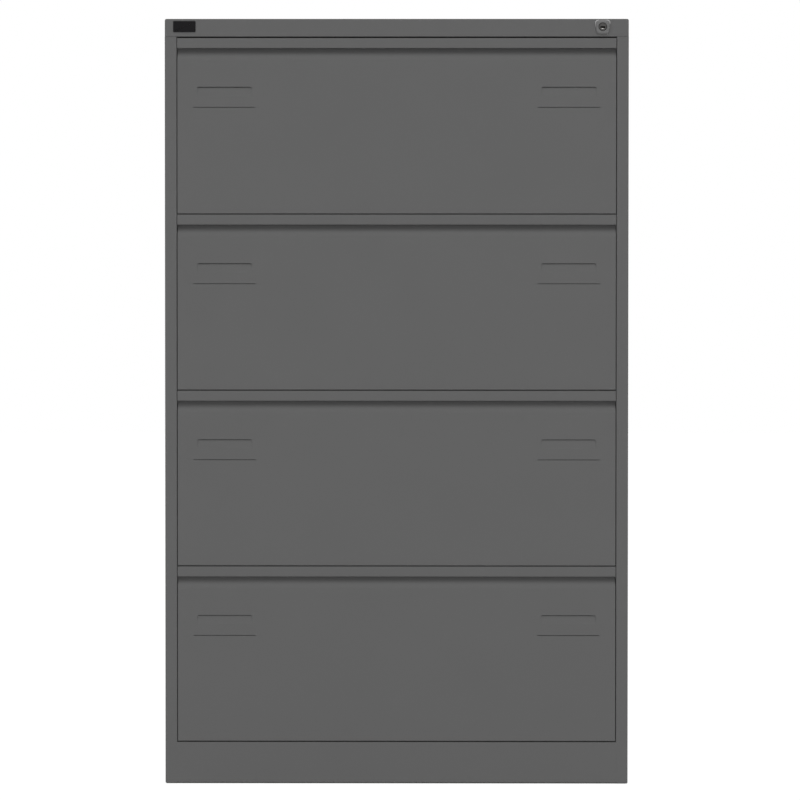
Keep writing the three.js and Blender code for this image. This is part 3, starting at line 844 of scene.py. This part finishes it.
@dataclass
class CamLock:
    """The lock at the right end of the fascia, with the cam and bar that it works.

    Attributes:
        face_width: Width of the face at half its height.
        face_height: Height of the face.
        face_depth: How far it stands out of the fascia.
        face_squareness: How square its outline is, as for a ring.
        face_taper: How much wider it is at the top, as a share.
        face_seat: How far its foot sinks into the fascia's plane and draws in.
        rim_steps: Depth below the face and distance from the outline, along the rounded rim.
        sleeve: Radius of the sleeve behind the face.
        sleeve_length: How far the sleeve reaches back.
        sleeve_end: Thickness of the disc that closes it.
        bore: Radius of the hole for the plug.
        dish: Depth below the face and radius past the bore, along the dished ring round the plug.
        dish_edge: How far the dish reaches past the bore.
        dish_squareness: How square the outer ring of the dish is.
        plug: Radius of the plug.
        plug_set_in: How far its front lies below the face.
        plug_edge: Chamfer of its front.
        plug_length: How far it reaches behind the fascia.
        tail: Half the width of the square tail.
        tail_squareness: How square the tail is.
        key_width: Width of the keyway.
        key_height: Height of the keyway.
        key_drop: How far it lies below the lock's axis.
        key_depth: Depth of the keyway.
        key_draft: How far it narrows towards its floor, across and up.
        key_squareness: How square it is.
        key_mouth: Depth of its flared mouth.
        key_flare: How far the mouth widens.
        mouth_squareness: How square the mouth is.
        wafer_count: Wafers that can be seen in the keyway.
        wafer_pitch: Distance between them.
        wafer_set_in: How far they lie below the plug's front.
        wafer_gap: Half the room between two wafers.
        wafer_room: Room above and below a wafer.
        wafer_foot: Room between a wafer and the keyway's floor.
        wafer_edge: Chamfer of a wafer.
        wafer_squareness: How square a wafer is.
        glint_bump: Height, half width and half height along the pale bump of painted glint, from the plug's
            front.
        glint_squareness: How square the lip is.
        glint_aside: How far the lip lies left of the axis.
        glint_below: How far it lies below the keyway.
        highlight_turns: Side, first angle and last angle of each strip of painted highlight, counted up from
            the right.
        highlight_steps: How many of the rim's steps a strip covers.
        highlight_proud: How far a strip stands out.
        highlight_thick: Its thickness.
        highlight_blunt: How bluntly it ends: 1 for a slow taper, near 0 for a square end.
        refiner: What makes the finer copies of the parts behind.
    """

    face_width: float = 25.2
    face_height: float = 25.0
    face_depth: float = 4.6
    face_squareness: float = 4.2
    face_taper: float = 0.085
    face_seat: float = 0.3
    rim_steps: tuple[tuple[float, float], ...] = ((3.2, 0.05), (2.3, 0.4), (1.5, 1.0), (0.8, 2.0), (0.3, 3.1))
    sleeve: float = 9.4
    sleeve_length: float = 16.0
    sleeve_end: float = 0.1
    bore: float = 7.3
    dish: tuple[tuple[float, float], ...] = ((0.1, 0.4), (0.5, 0.0), (2.5, -0.3))
    dish_edge: float = 1.2
    dish_squareness: float = 2.2
    plug: float = 6.7
    plug_set_in: float = 0.6
    plug_edge: float = 0.4
    plug_length: float = 16.3
    tail: float = 3.5
    tail_squareness: float = 14.0
    key_width: float = 8.6
    key_height: float = 3.4
    key_drop: float = 0.8
    key_depth: float = 6.0
    key_draft: tuple[float, float] = (0.3, 0.2)
    key_squareness: float = 5.0
    key_mouth: float = 0.3
    key_flare: float = 0.7
    mouth_squareness: float = 4.0
    wafer_count: int = 5
    wafer_pitch: float = 1.55
    wafer_set_in: float = 0.9
    wafer_gap: float = 0.1
    wafer_room: float = 0.25
    wafer_foot: float = 0.02
    wafer_edge: float = 0.2
    wafer_squareness: float = 9.0
    # A pale bump of painted glint under the keyway.
    glint_bump: tuple[tuple[float, float, float], ...] = ((-0.2, 1.8, 0.6), (0.06, 1.8, 0.6), (0.18, 1.3, 0.35))
    glint_squareness: float = 2.6
    glint_aside: float = 0.4
    glint_below: float = 0.7
    # Strips of painted highlight on the rim's upper corners.
    highlight_turns: tuple[tuple[Side, float, float], ...] = ((Side.LEFT, 102.0, 180.5), (Side.RIGHT, 5.0, 80.0))
    highlight_steps: int = 3
    highlight_proud: float = 0.08
    highlight_thick: float = 0.05
    highlight_blunt: float = 0.3
    refiner: SheetRefiner = SheetRefiner()

    @property
    def plug_front(self) -> float:
        """How far the plug's front stands out of the fascia."""
        return self.face_depth - self.plug_set_in

    def build(self) -> None:
        """Model the face and the plug, and dress the parts behind them."""
        self.build_face()
        self.build_rim()
        self.build_plug()
        self.build_wafers()
        self.build_key_lip()
        for node in ("lock_nut", "lock_cam", "lock_bar"):
            self.refiner.piece(node, LOCK_ZINC)

    def centre(self) -> Vector:
        """Find the middle of the lock.

        Returns:
            The point on the fascia's plane behind it.
        """
        low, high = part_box("lock_barrel")
        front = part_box("top_panel")[0].y
        return Vector(((low.x + high.x) / 2, front, (low.z + high.z) / 2))

    def square(self, along: float, less: float) -> Ring:
        """Draw a ring of the face's outline.

        Args:
            along: How far it stands out of the fascia.
            less: How far it is drawn in.

        Returns:
            The ring.
        """
        return Ring(
            along,
            self.face_width / 2 - less,
            self.face_height / 2 - less,
            self.face_squareness,
            self.face_taper,
        )

    def build_rim(self) -> None:
        """Painted highlights on the upper corners of the rim: light grey strips that thin out towards their
        ends.
        """
        proud = self.highlight_proud
        steps = self.rim_steps[: self.highlight_steps]
        rings = [self.square(self.face_depth - drop + proud, less - proud) for drop, less in steps]
        middle = rings[1]
        place = Matrix.Translation(self.centre()) @ Axis.FORWARD.value
        for side, first, last in self.highlight_turns:
            bm = bmesh.new()
            verts = loft(bm, rings, segments=96, closed=False)
            turn = bm.verts.layers.float["turn"]
            for vert in verts:
                share = (math.degrees(vert[turn]) - first) / (last - first)
                wide = math.sin(math.pi * min(max(share, 0.0), 1.0)) ** self.highlight_blunt
                vert.co = middle.point(vert[turn]).lerp(vert.co, wide)
            beyond = [vert for vert in bm.verts if not first <= math.degrees(vert[turn]) <= last]
            bmesh.ops.delete(bm, geom=beyond, context="VERTS")
            bmesh.ops.remove_doubles(bm, verts=bm.verts, dist=self.refiner.sliver_mm * MM)
            bmesh.ops.solidify(bm, geom=list(bm.faces), thickness=self.highlight_thick * MM)
            bmesh.ops.recalc_face_normals(bm, faces=bm.faces)
            bmesh.ops.transform(bm, matrix=place, verts=bm.verts)
            shade(bm, sharp_degrees=60.0)
            publish(bm, f"lock_rim_highlight_{side.value}", "carcass", LOCK_RIM_HIGHLIGHT)

    def build_key_lip(self) -> None:
        """A pale nickel bump on the keyway's lower lip: a painted glint."""
        front = self.plug_front
        glint_rings = [Ring(front + out, wide, high, self.glint_squareness) for out, wide, high in self.glint_bump]
        below = self.key_drop + self.key_height / 2 + self.glint_below
        place = self.centre() - Vector((self.glint_aside, 0.0, below)) * MM
        publish(turned(glint_rings, Axis.FORWARD, [place], segments=32), "key_lip", "lock_barrel", GLINT_NICKEL)

    def build_wafers(self) -> None:
        """The row of wafers that closes the keyway."""
        front = self.plug_front - self.wafer_set_in
        back = self.plug_front - self.key_depth + self.wafer_foot
        wide = self.wafer_pitch / 2 - self.wafer_gap
        high = self.key_height / 2 - self.wafer_room
        edge = self.wafer_edge
        wafer = (
            Ring(back, wide, high, self.wafer_squareness),
            Ring(front - edge, wide, high, self.wafer_squareness),
            Ring(front, wide - edge, high - edge, self.wafer_squareness),
        )
        half_row = (self.wafer_count - 1) / 2
        steps = [(i - half_row) * self.wafer_pitch for i in range(self.wafer_count)]
        places = [self.centre() + Vector((step, 0.0, -self.key_drop)) * MM for step in steps]
        # The near-black brass of the wafers is painted shade of the deep keyway.
        publish(turned(wafer, Axis.FORWARD, places, segments=24), "lock_wafers", "lock_barrel", WAFER_BRASS)

    def build_face(self) -> None:
        """The die-cast face with its rounded rim, a dished ring round the plug and the sleeve behind."""
        depth, seat = self.face_depth, self.face_seat
        outer = self.bore + self.dish_edge
        inner = self.bore + self.dish[-1][1]
        rings = [
            Ring(-self.sleeve_length, self.sleeve),
            Ring(-seat, self.sleeve),
            self.square(-seat, seat),
            self.square(0.0, 0.0),
            *(self.square(depth - drop, less) for drop, less in self.rim_steps),
            Ring(depth, outer, outer, self.dish_squareness),
            *(Ring(depth - drop, self.bore + past) for drop, past in self.dish),
            Ring(self.sleeve_end - self.sleeve_length, inner),
        ]
        bm = turned(rings, Axis.FORWARD, [self.centre()], segments=64)
        publish(bm, "lock_face", "carcass", LOCK_ENAMEL, replaces=("lock_housing",))

    def build_plug(self) -> None:
        """The plug with its keyway and the square tail for the cam."""
        front, edge, tail = self.plug_front, self.plug_edge, self.tail
        wide, high, flare = self.key_width / 2, self.key_height / 2, self.key_flare
        across, up = self.key_draft
        square, lift = self.key_squareness, -self.key_drop
        back = (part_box("lock_barrel")[1].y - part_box("top_panel")[0].y) / MM
        rings = [
            Ring(-back, tail, tail, self.tail_squareness),
            Ring(-self.plug_length, tail, tail, self.tail_squareness),
            Ring(-self.plug_length, self.plug),
            Ring(front - edge, self.plug),
            Ring(front, self.plug - edge),
            Ring(front, wide + flare, high + flare, self.mouth_squareness, lift=lift),
            Ring(front - self.key_mouth, wide, high, square, lift=lift),
            Ring(front - self.key_depth, wide - across, high - up, square, lift=lift),
        ]
        bm = turned(rings, Axis.FORWARD, [self.centre()], segments=64)
        publish(bm, "lock_plug", "lock_barrel", NICKEL, replaces=("lock_barrel",))


@dataclass
class BadgePlate:
    """The bare black plate at the left end of the fascia.

    Attributes:
        rim: Width of the raised rim.
        sink: How far the field inside it is sunk.
        corner: Radius of the plate's corners.
        edge: Radius of its front edge.
    """

    rim: float = 0.9
    sink: float = 0.25
    corner: float = 1.2
    edge: float = 0.4

    def build(self) -> None:
        """Model the plate from a block: rounded corners, an eased rim and a sunk field."""
        low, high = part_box("badge_plate")
        bm = bmesh.new()
        bmesh.ops.create_cube(bm, size=1.0)
        bmesh.ops.scale(bm, vec=high - low, verts=bm.verts)
        bmesh.ops.translate(bm, vec=(low + high) / 2, verts=bm.verts)
        upright = [e for e in bm.edges if abs(e.verts[0].co.y - e.verts[1].co.y) > MM]
        round_edges(bm, upright, self.corner, segments=5)
        face = min(bm.faces, key=lambda f: f.calc_center_median().y)
        round_edges(bm, face.edges, self.edge, segments=3)
        face = min(bm.faces, key=lambda f: f.calc_center_median().y)
        bmesh.ops.inset_region(bm, faces=[face], thickness=self.rim * MM, depth=0.0)
        bmesh.ops.inset_region(bm, faces=[face], thickness=self.sink * MM, depth=-self.sink * MM)
        shade(bm)
        publish(bm, "badge_face", "carcass", BADGE_ENAMEL, replaces=("badge_plate",))


# A pan-head screw, from under the tray's wall over its dome to the floor of its drive.
PAN_HEAD = (
    Ring(-0.3, 4.2),
    Ring(0.3, 4.2),
    Ring(1.2, 3.9),
    Ring(1.8, 3.2),
    Ring(2.1, 2.2),
    Ring(2.1, 1.5, 1.5, 1.2),
    Ring(0.9, 0.9, 0.9, 1.2),
)


@dataclass
class Drawer:
    """One drawer: front, liner, tray, back with its hanging rail, and the screws that hold the slides.

    Attributes:
        number: The drawer's place from the top.
        sheet: Thickness of the front's sheet.
        tray_sheet: Thickness of the tray's sheet.
        grip_start: Height of the bend under the lip in the solid.
        grip_radius: Radius of that bend.
        grip_turn: How far it turns.
        grip_room: How far from the bend's own line the two faces of its sheet can lie.
        grip_rise: How far the ledge behind it can rise above a full turn.
        scoop_start: Height of the wider bend that takes its place.
        scoop_radius: Radius of the wider bend.
        scoop_turn: How far it turns.
        edge_reach: How far the top and bottom folds are drawn out.
        edge_depth: How far a fold reaches from the front's edge.
        lip_reach: How far the lip's ends are drawn out.
        lip_height: Height of the lip.
        slit_edges: Height of each label slit's upper edge and of its corner.
        slit_fill: How far that edge is drawn down.
        slide_up: Height of the slides.
        screw_pitch: Distance between screws.
        screw_count: Screws in a row.
        play: Room for rounding of the numbers.
        turn_play: The same for angles, in radians.
        refiner: What makes the finer copies.
    """

    number: int
    sheet: float = 1.0
    tray_sheet: float = 0.8
    grip_start: float = 268.0
    grip_radius: float = 7.5
    grip_turn: float = 82.0
    grip_room: float = 0.8
    grip_rise: float = 6.0
    scoop_start: float = 261.6
    scoop_radius: float = 20.5
    scoop_turn: float = 40.0
    edge_reach: float = 0.25
    edge_depth: float = 3.0
    lip_reach: float = 0.4
    lip_height: float = 18.0
    slit_edges: tuple[tuple[float, float], ...] = ((218.9, 3.0), (184.2, 0.1))
    slit_fill: float = 0.8
    slide_up: float = 95.0
    screw_pitch: float = 160.0
    screw_count: int = 4
    play: float = 0.05
    turn_play: float = 0.02
    refiner: SheetRefiner = SheetRefiner()

    @property
    def body(self) -> str:
        """The moving body of this drawer."""
        return f"drawer_{self.number}"

    def build(self) -> None:
        """Dress the sheets and set the screws."""
        self.refiner.piece(f"drawer_{self.number}_front", PAINT, self.shape_front)
        for part in ("liner", "tray", "back_rail"):
            self.refiner.piece(f"drawer_{self.number}_{part}", PAINT)
        for side in Side:
            self.set_screws(side)

    def shape_front(self, bm: BMesh) -> None:
        """Draw the front's folds out to a fine gap, and shape its lip, its label slits and its scoop.

        Args:
            bm: The front.
        """
        low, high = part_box(f"drawer_{self.number}_front")
        rim = self.edge_depth * MM
        for vert in bm.verts:
            place = vert.co
            if place.z > high.z - self.lip_height * MM and abs(place.x) > high.x - rim:
                place.x += math.copysign(self.lip_reach * MM, place.x)
            if place.z > high.z - rim:
                place.z += self.edge_reach * MM
            elif place.z < low.z + rim:
                place.z -= self.edge_reach * MM
        self.narrow_slits(bm)
        self.scoop(bm)

    def narrow_slits(self, bm: BMesh) -> None:
        """Draw the upper edges of the label slits down, so that they are open for little more than a card.

        Args:
            bm: The front.
        """
        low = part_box(f"drawer_{self.number}_front")[0]
        skin = [vert for vert in bm.verts if vert.co.y < low.y + (self.sheet + self.play) * MM]
        for edge, corner in self.slit_edges:
            for vert in skin:
                height = (vert.co.z - low.z) / MM
                if edge - corner < height < edge + self.play:
                    share = min((height - edge + corner) / corner, 1.0)
                    vert.co.z -= share * self.slit_fill * MM

    def scoop(self, bm: BMesh) -> None:
        """Draw the bend under the lip into a wider scoop that slopes up to the back of the recess.

        Args:
            bm: The front.
        """
        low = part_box(f"drawer_{self.number}_front")[0]
        start = low.z + self.grip_start * MM
        begin = low.z + self.scoop_start * MM
        middle = low.y + self.sheet / 2 * MM
        old, new = self.grip_radius * MM, self.scoop_radius * MM
        turn, wide = math.radians(self.grip_turn), math.radians(self.scoop_turn)
        old_end = Vector((middle + old * (1 - math.cos(turn)), start + old * math.sin(turn)))
        new_end = Vector((middle + new * (1 - math.cos(wide)), begin + new * math.sin(wide)))
        ceiling = start + (self.grip_radius + self.grip_rise) * MM
        for vert in bm.verts:
            y, z = vert.co.y, vert.co.z
            if z < start - self.refiner.sliver_mm * MM or z > ceiling:
                continue
            across, up = middle + old - y, z - start
            angle = math.atan2(up, across)
            out = math.hypot(across, up) - old
            if angle <= turn + self.turn_play and abs(out) < self.grip_room * MM:
                angle *= wide / turn
                vert.co.y = middle + new - (new + out) * math.cos(angle)
                vert.co.z = begin + (new + out) * math.sin(angle)
            elif y > old_end.x:
                rise = (z - old_end.y) - (y - old_end.x) / math.tan(turn)
                vert.co.z = new_end.y + rise + max(y - new_end.x, 0.0) / math.tan(wide)

    def set_screws(self, side: Side) -> None:
        """Set a row of pan-head screws on the inside of one wall of the tray.

        Args:
            side: The wall.
        """
        low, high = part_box(f"drawer_{self.number}_tray")
        x = side.sign * (high.x - self.tray_sheet * MM)
        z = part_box(f"drawer_{self.number}_front")[0].z + self.slide_up * MM
        pitch = self.screw_pitch * MM
        start = (low.y + high.y) / 2 - (self.screw_count - 1) * pitch / 2
        places = [Vector((x, start + i * pitch, z)) for i in range(self.screw_count)]
        axis = Axis.LEFTWARD if side is Side.RIGHT else Axis.RIGHTWARD
        bm = turned(PAN_HEAD, axis, places, segments=24)
        publish(bm, f"slide_screws_{self.number}_{side.value}", self.body, ZINC)


@dataclass
class TelescopicSlide:
    """The three channels of one slide and the lever that lets the drawer out.

    Attributes:
        number: The drawer that runs on it.
        side: Its side of the drawer.
        channel_sheet: Thickness of the inner member's web.
        lever_length: Length of the lever.
        lever_height: Its height at the widest.
        lever_thick: Its thickness.
        lever_gap: Room between lever and web.
        lever_set_in: How far it lies behind the front end of the member.
        lever_waist: Its least height, as a share.
        lever_lead: How far its widest place lies off the middle, as a share of the length.
        lever_bow: How far its ends drop.
        lever_edge: How far its edges are rounded.
        refiner: What makes the finer copies.
    """

    number: int
    side: Side
    channel_sheet: float = 1.2
    lever_length: float = 68.0
    lever_height: float = 7.0
    lever_thick: float = 2.4
    lever_gap: float = 0.2
    lever_set_in: float = 60.0
    lever_waist: float = 0.55
    lever_lead: float = 0.1
    lever_bow: float = 5.0
    lever_edge: float = 0.4
    refiner: SheetRefiner = SheetRefiner(ease_mm=0.25)

    def build(self) -> None:
        """Dress the members and model the lever."""
        for member in ("outer", "middle", "inner"):
            self.refiner.piece(f"slide_{self.number}_{self.side.value}_{member}", ZINC)
        self.build_lever()

    def build_lever(self) -> None:
        """The nylon release lever in the hollow of the inner member."""
        low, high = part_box(f"slide_{self.number}_{self.side.value}_inner")
        base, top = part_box(f"slide_{self.number}_{self.side.value}_outer")
        web = min(low.x, high.x, key=abs)
        length, thick = self.lever_length * MM, self.lever_thick * MM
        bm = bmesh.new()
        bmesh.ops.create_grid(bm, x_segments=10, y_segments=2, size=0.5)
        bmesh.ops.scale(bm, vec=(length, self.lever_height * MM, 1.0), verts=bm.verts)
        for vert in bm.verts:
            along = vert.co.x / length
            swell = (1.0 - self.lever_waist) * math.cos(math.pi * (along - self.lever_lead)) ** 2
            vert.co.y = vert.co.y * (self.lever_waist + swell) - self.lever_bow * MM * along**2
        bmesh.ops.solidify(bm, geom=list(bm.faces), thickness=thick)
        bmesh.ops.recalc_face_normals(bm, faces=bm.faces)
        # Length runs along Y, height along Z and thickness along X.
        turn = Matrix(((0, 0, 1, 0), (1, 0, 0, 0), (0, 1, 0, 0), (0, 0, 0, 1)))
        middle = web + self.side.sign * ((self.channel_sheet + self.lever_gap) * MM + thick / 2)
        y = low.y + self.lever_set_in * MM + length / 2
        place = Vector((middle - thick / 2, y, (base.z + top.z) / 2))
        bmesh.ops.transform(bm, matrix=Matrix.Translation(place) @ turn, verts=bm.verts)
        rim = [e for e in bm.edges if e.calc_face_angle(0.0) > math.radians(60)]
        round_edges(bm, rim, self.lever_edge, segments=2)
        shade(bm, sharp_degrees=50.0)
        publish(bm, f"release_lever_{self.number}_{self.side.value}", f"drawer_{self.number}", NYLON)


@dataclass
class Studio:
    """White surroundings, a pale floor, soft light and the camera at the photo's viewpoint, in metres.

    Attributes:
        lens: Focal length in millimetres.
        sensor: Width of the film in millimetres.
        camera_place: Where the camera stands.
        pitch: How far it looks up, in degrees.
        yaw: How far it looks to the right.
        roll: How far it leans.
        key_strength: Strength of the lamp above.
        key_height: Its height over the horizon, in degrees.
        key_softness: Its width in the sky, in degrees.
        fill_strength: Light of the soft box that reaches the front.
        fill_place: Where the soft box stands.
        fill_size: Its width and height.
        ambient: Light of the room.
        floor_half: Half the width of the floor.
        floor_colour: Its paint.
        floor_reach: How near a thing has to be to darken it.
        floor_shadow: Openness at which the shadow starts to clear and is gone.
        floor_open: Share of white that the open floor shows.
        floor_glow: Brightness of that white.
    """

    lens: float = 130.31
    sensor: float = 36.0
    camera_place: tuple[float, float, float] = (0.0264, -5.311, 0.7557)
    pitch: float = -1.051
    yaw: float = -0.235
    roll: float = 0.02
    key_strength: float = 0.88
    key_height: float = 60.0
    key_softness: float = 50.0
    fill_strength: float = 1.25
    fill_place: tuple[float, float, float] = (0.0, -7.5, 0.72)
    fill_size: tuple[float, float] = (3.0, 1.4)
    ambient: float = 0.36
    floor_half: float = 20.0
    floor_colour: str = "f4f4f4"
    floor_reach: float = 0.12
    floor_shadow: tuple[float, float] = (0.2, 0.42)
    floor_open: float = 0.85
    floor_glow: float = 1.13

    def build(self) -> None:
        """Make the world, the floor, the two lamps and the camera."""
        self.make_world()
        self.make_floor()
        self.make_key()
        self.make_fill()
        self.make_camera()
        bpy.context.scene.view_settings.view_transform = "Standard"

    def make_world(self) -> None:
        """White to the eye and in reflections, dimmer as light."""
        world = bpy.data.worlds.new("studio")
        bpy.context.scene.world = world
        world.use_nodes = True
        tree = world.node_tree
        tree.nodes.clear()
        seen = self.seen(tree)
        colour = linear("ffffff")
        dim = add_node(tree, "ShaderNodeBackground", inputs={"Color": colour, "Strength": self.ambient})
        white = add_node(tree, "ShaderNodeBackground", inputs={"Color": colour, "Strength": 1.0})
        mixed = add_node(tree, "ShaderNodeMixShader", links={0: seen, 1: dim.outputs[0], 2: white.outputs[0]})
        add_node(tree, "ShaderNodeOutputWorld", links={"Surface": mixed.outputs[0]})

    @staticmethod
    def seen(tree: bpy.types.NodeTree) -> bpy.types.NodeSocket:
        """Tell what the eye sees from what only lights.

        Args:
            tree: The tree that gets the nodes.

        Returns:
            A socket that is 1 for rays from the eye, off gloss or through glass.
        """
        path = add_node(tree, "ShaderNodeLightPath")
        first = add_node(
            tree,
            "ShaderNodeMath",
            operation="ADD",
            use_clamp=True,
            links={0: path.outputs["Is Camera Ray"], 1: path.outputs["Is Glossy Ray"]},
        )
        both = add_node(
            tree,
            "ShaderNodeMath",
            operation="ADD",
            use_clamp=True,
            links={0: first.outputs[0], 1: path.outputs["Is Transmission Ray"]},
        )
        return both.outputs[0]

    def make_floor(self) -> None:
        """A wide pale floor, white to the eye where it lies open, that keeps the cabinet's shadow."""
        bm = bmesh.new()
        bmesh.ops.create_grid(bm, x_segments=1, y_segments=1, size=self.floor_half)
        mesh = bpy.data.meshes.new("studio_floor")
        bm.to_mesh(mesh)
        bm.free()
        floor = bpy.data.objects.new("studio_floor", mesh)
        bpy.context.scene.collection.objects.link(floor)
        floor.data.materials.append(self.floor_paint())

    def floor_paint(self) -> bpy.types.Material:
        """Mix matt pale paint with white where nothing stands near.

        Returns:
            The material of the floor.
        """
        paint = bpy.data.materials.new("pale_floor")
        paint.use_nodes = True
        tree = paint.node_tree
        tree.nodes.clear()
        nearby = add_node(tree, "ShaderNodeAmbientOcclusion", inputs={"Distance": self.floor_reach})
        start, clear = self.floor_shadow
        open_floor = add_node(
            tree,
            "ShaderNodeMapRange",
            inputs={"From Min": start, "From Max": clear, "To Max": self.floor_open},
            links={"Value": nearby.outputs["AO"]},
        )
        share = add_node(
            tree,
            "ShaderNodeMath",
            operation="MULTIPLY",
            links={0: self.seen(tree), 1: open_floor.outputs["Result"]},
        )
        matt = add_node(tree, "ShaderNodeBsdfDiffuse", inputs={"Color": linear(self.floor_colour)})
        glow = add_node(
            tree,
            "ShaderNodeEmission",
            inputs={"Color": linear("ffffff"), "Strength": self.floor_glow},
        )
        mixed = add_node(
            tree,
            "ShaderNodeMixShader",
            links={0: share.outputs[0], 1: matt.outputs[0], 2: glow.outputs[0]},
        )
        add_node(tree, "ShaderNodeOutputMaterial", links={"Surface": mixed.outputs[0]})
        return paint

    def make_key(self) -> None:
        """A broad soft light from in front and above."""
        data = bpy.data.lights.new("soft_key", "SUN")
        data.energy = self.key_strength
        data.angle = math.radians(self.key_softness)
        lamp = bpy.data.objects.new("soft_key", data)
        lamp.rotation_euler = (math.radians(90.0 - self.key_height), 0.0, 0.0)
        bpy.context.scene.collection.objects.link(lamp)

    def make_fill(self) -> None:
        """A soft box behind the camera that reaches into the hollows of the front."""
        data = bpy.data.lights.new("front_fill", "AREA")
        data.shape = "RECTANGLE"
        data.size, data.size_y = self.fill_size
        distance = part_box("top_panel")[0].y - self.fill_place[1]
        data.energy = self.fill_strength * math.pi * distance**2
        lamp = bpy.data.objects.new("front_fill", data)
        lamp.location = self.fill_place
        lamp.rotation_euler = (math.radians(90.0), 0.0, 0.0)
        lamp.visible_glossy = False
        bpy.context.scene.collection.objects.link(lamp)

    def make_camera(self) -> None:
        """The camera, nearly square on and a little right of the middle."""
        data = bpy.data.cameras.new("photo_camera")
        data.lens = self.lens
        data.sensor_width = self.sensor
        data.clip_end = 100.0
        camera = bpy.data.objects.new("photo_camera", data)
        turn = Matrix.Rotation(math.radians(-self.yaw), 4, "Z")
        tilt = Matrix.Rotation(math.radians(90.0 + self.pitch), 4, "X")
        level = Matrix.Rotation(math.radians(self.roll), 4, "Z")
        camera.matrix_world = Matrix.Translation(self.camera_place) @ turn @ tilt @ level
        bpy.context.scene.collection.objects.link(camera)
        bpy.context.scene.camera = camera


def main() -> None:
    """Build every sub-assembly in order."""
    logging.basicConfig(level=logging.INFO, format="%(message)s")
    CaseShell().build()
    Glides().build()
    CamLock().build()
    BadgePlate().build()
    for number in range(1, DRAWER_COUNT + 1):
        Drawer(number).build()
        for side in Side:
            TelescopicSlide(number, side).build()
    Studio().build()


if __name__ == "__main__":
    main()
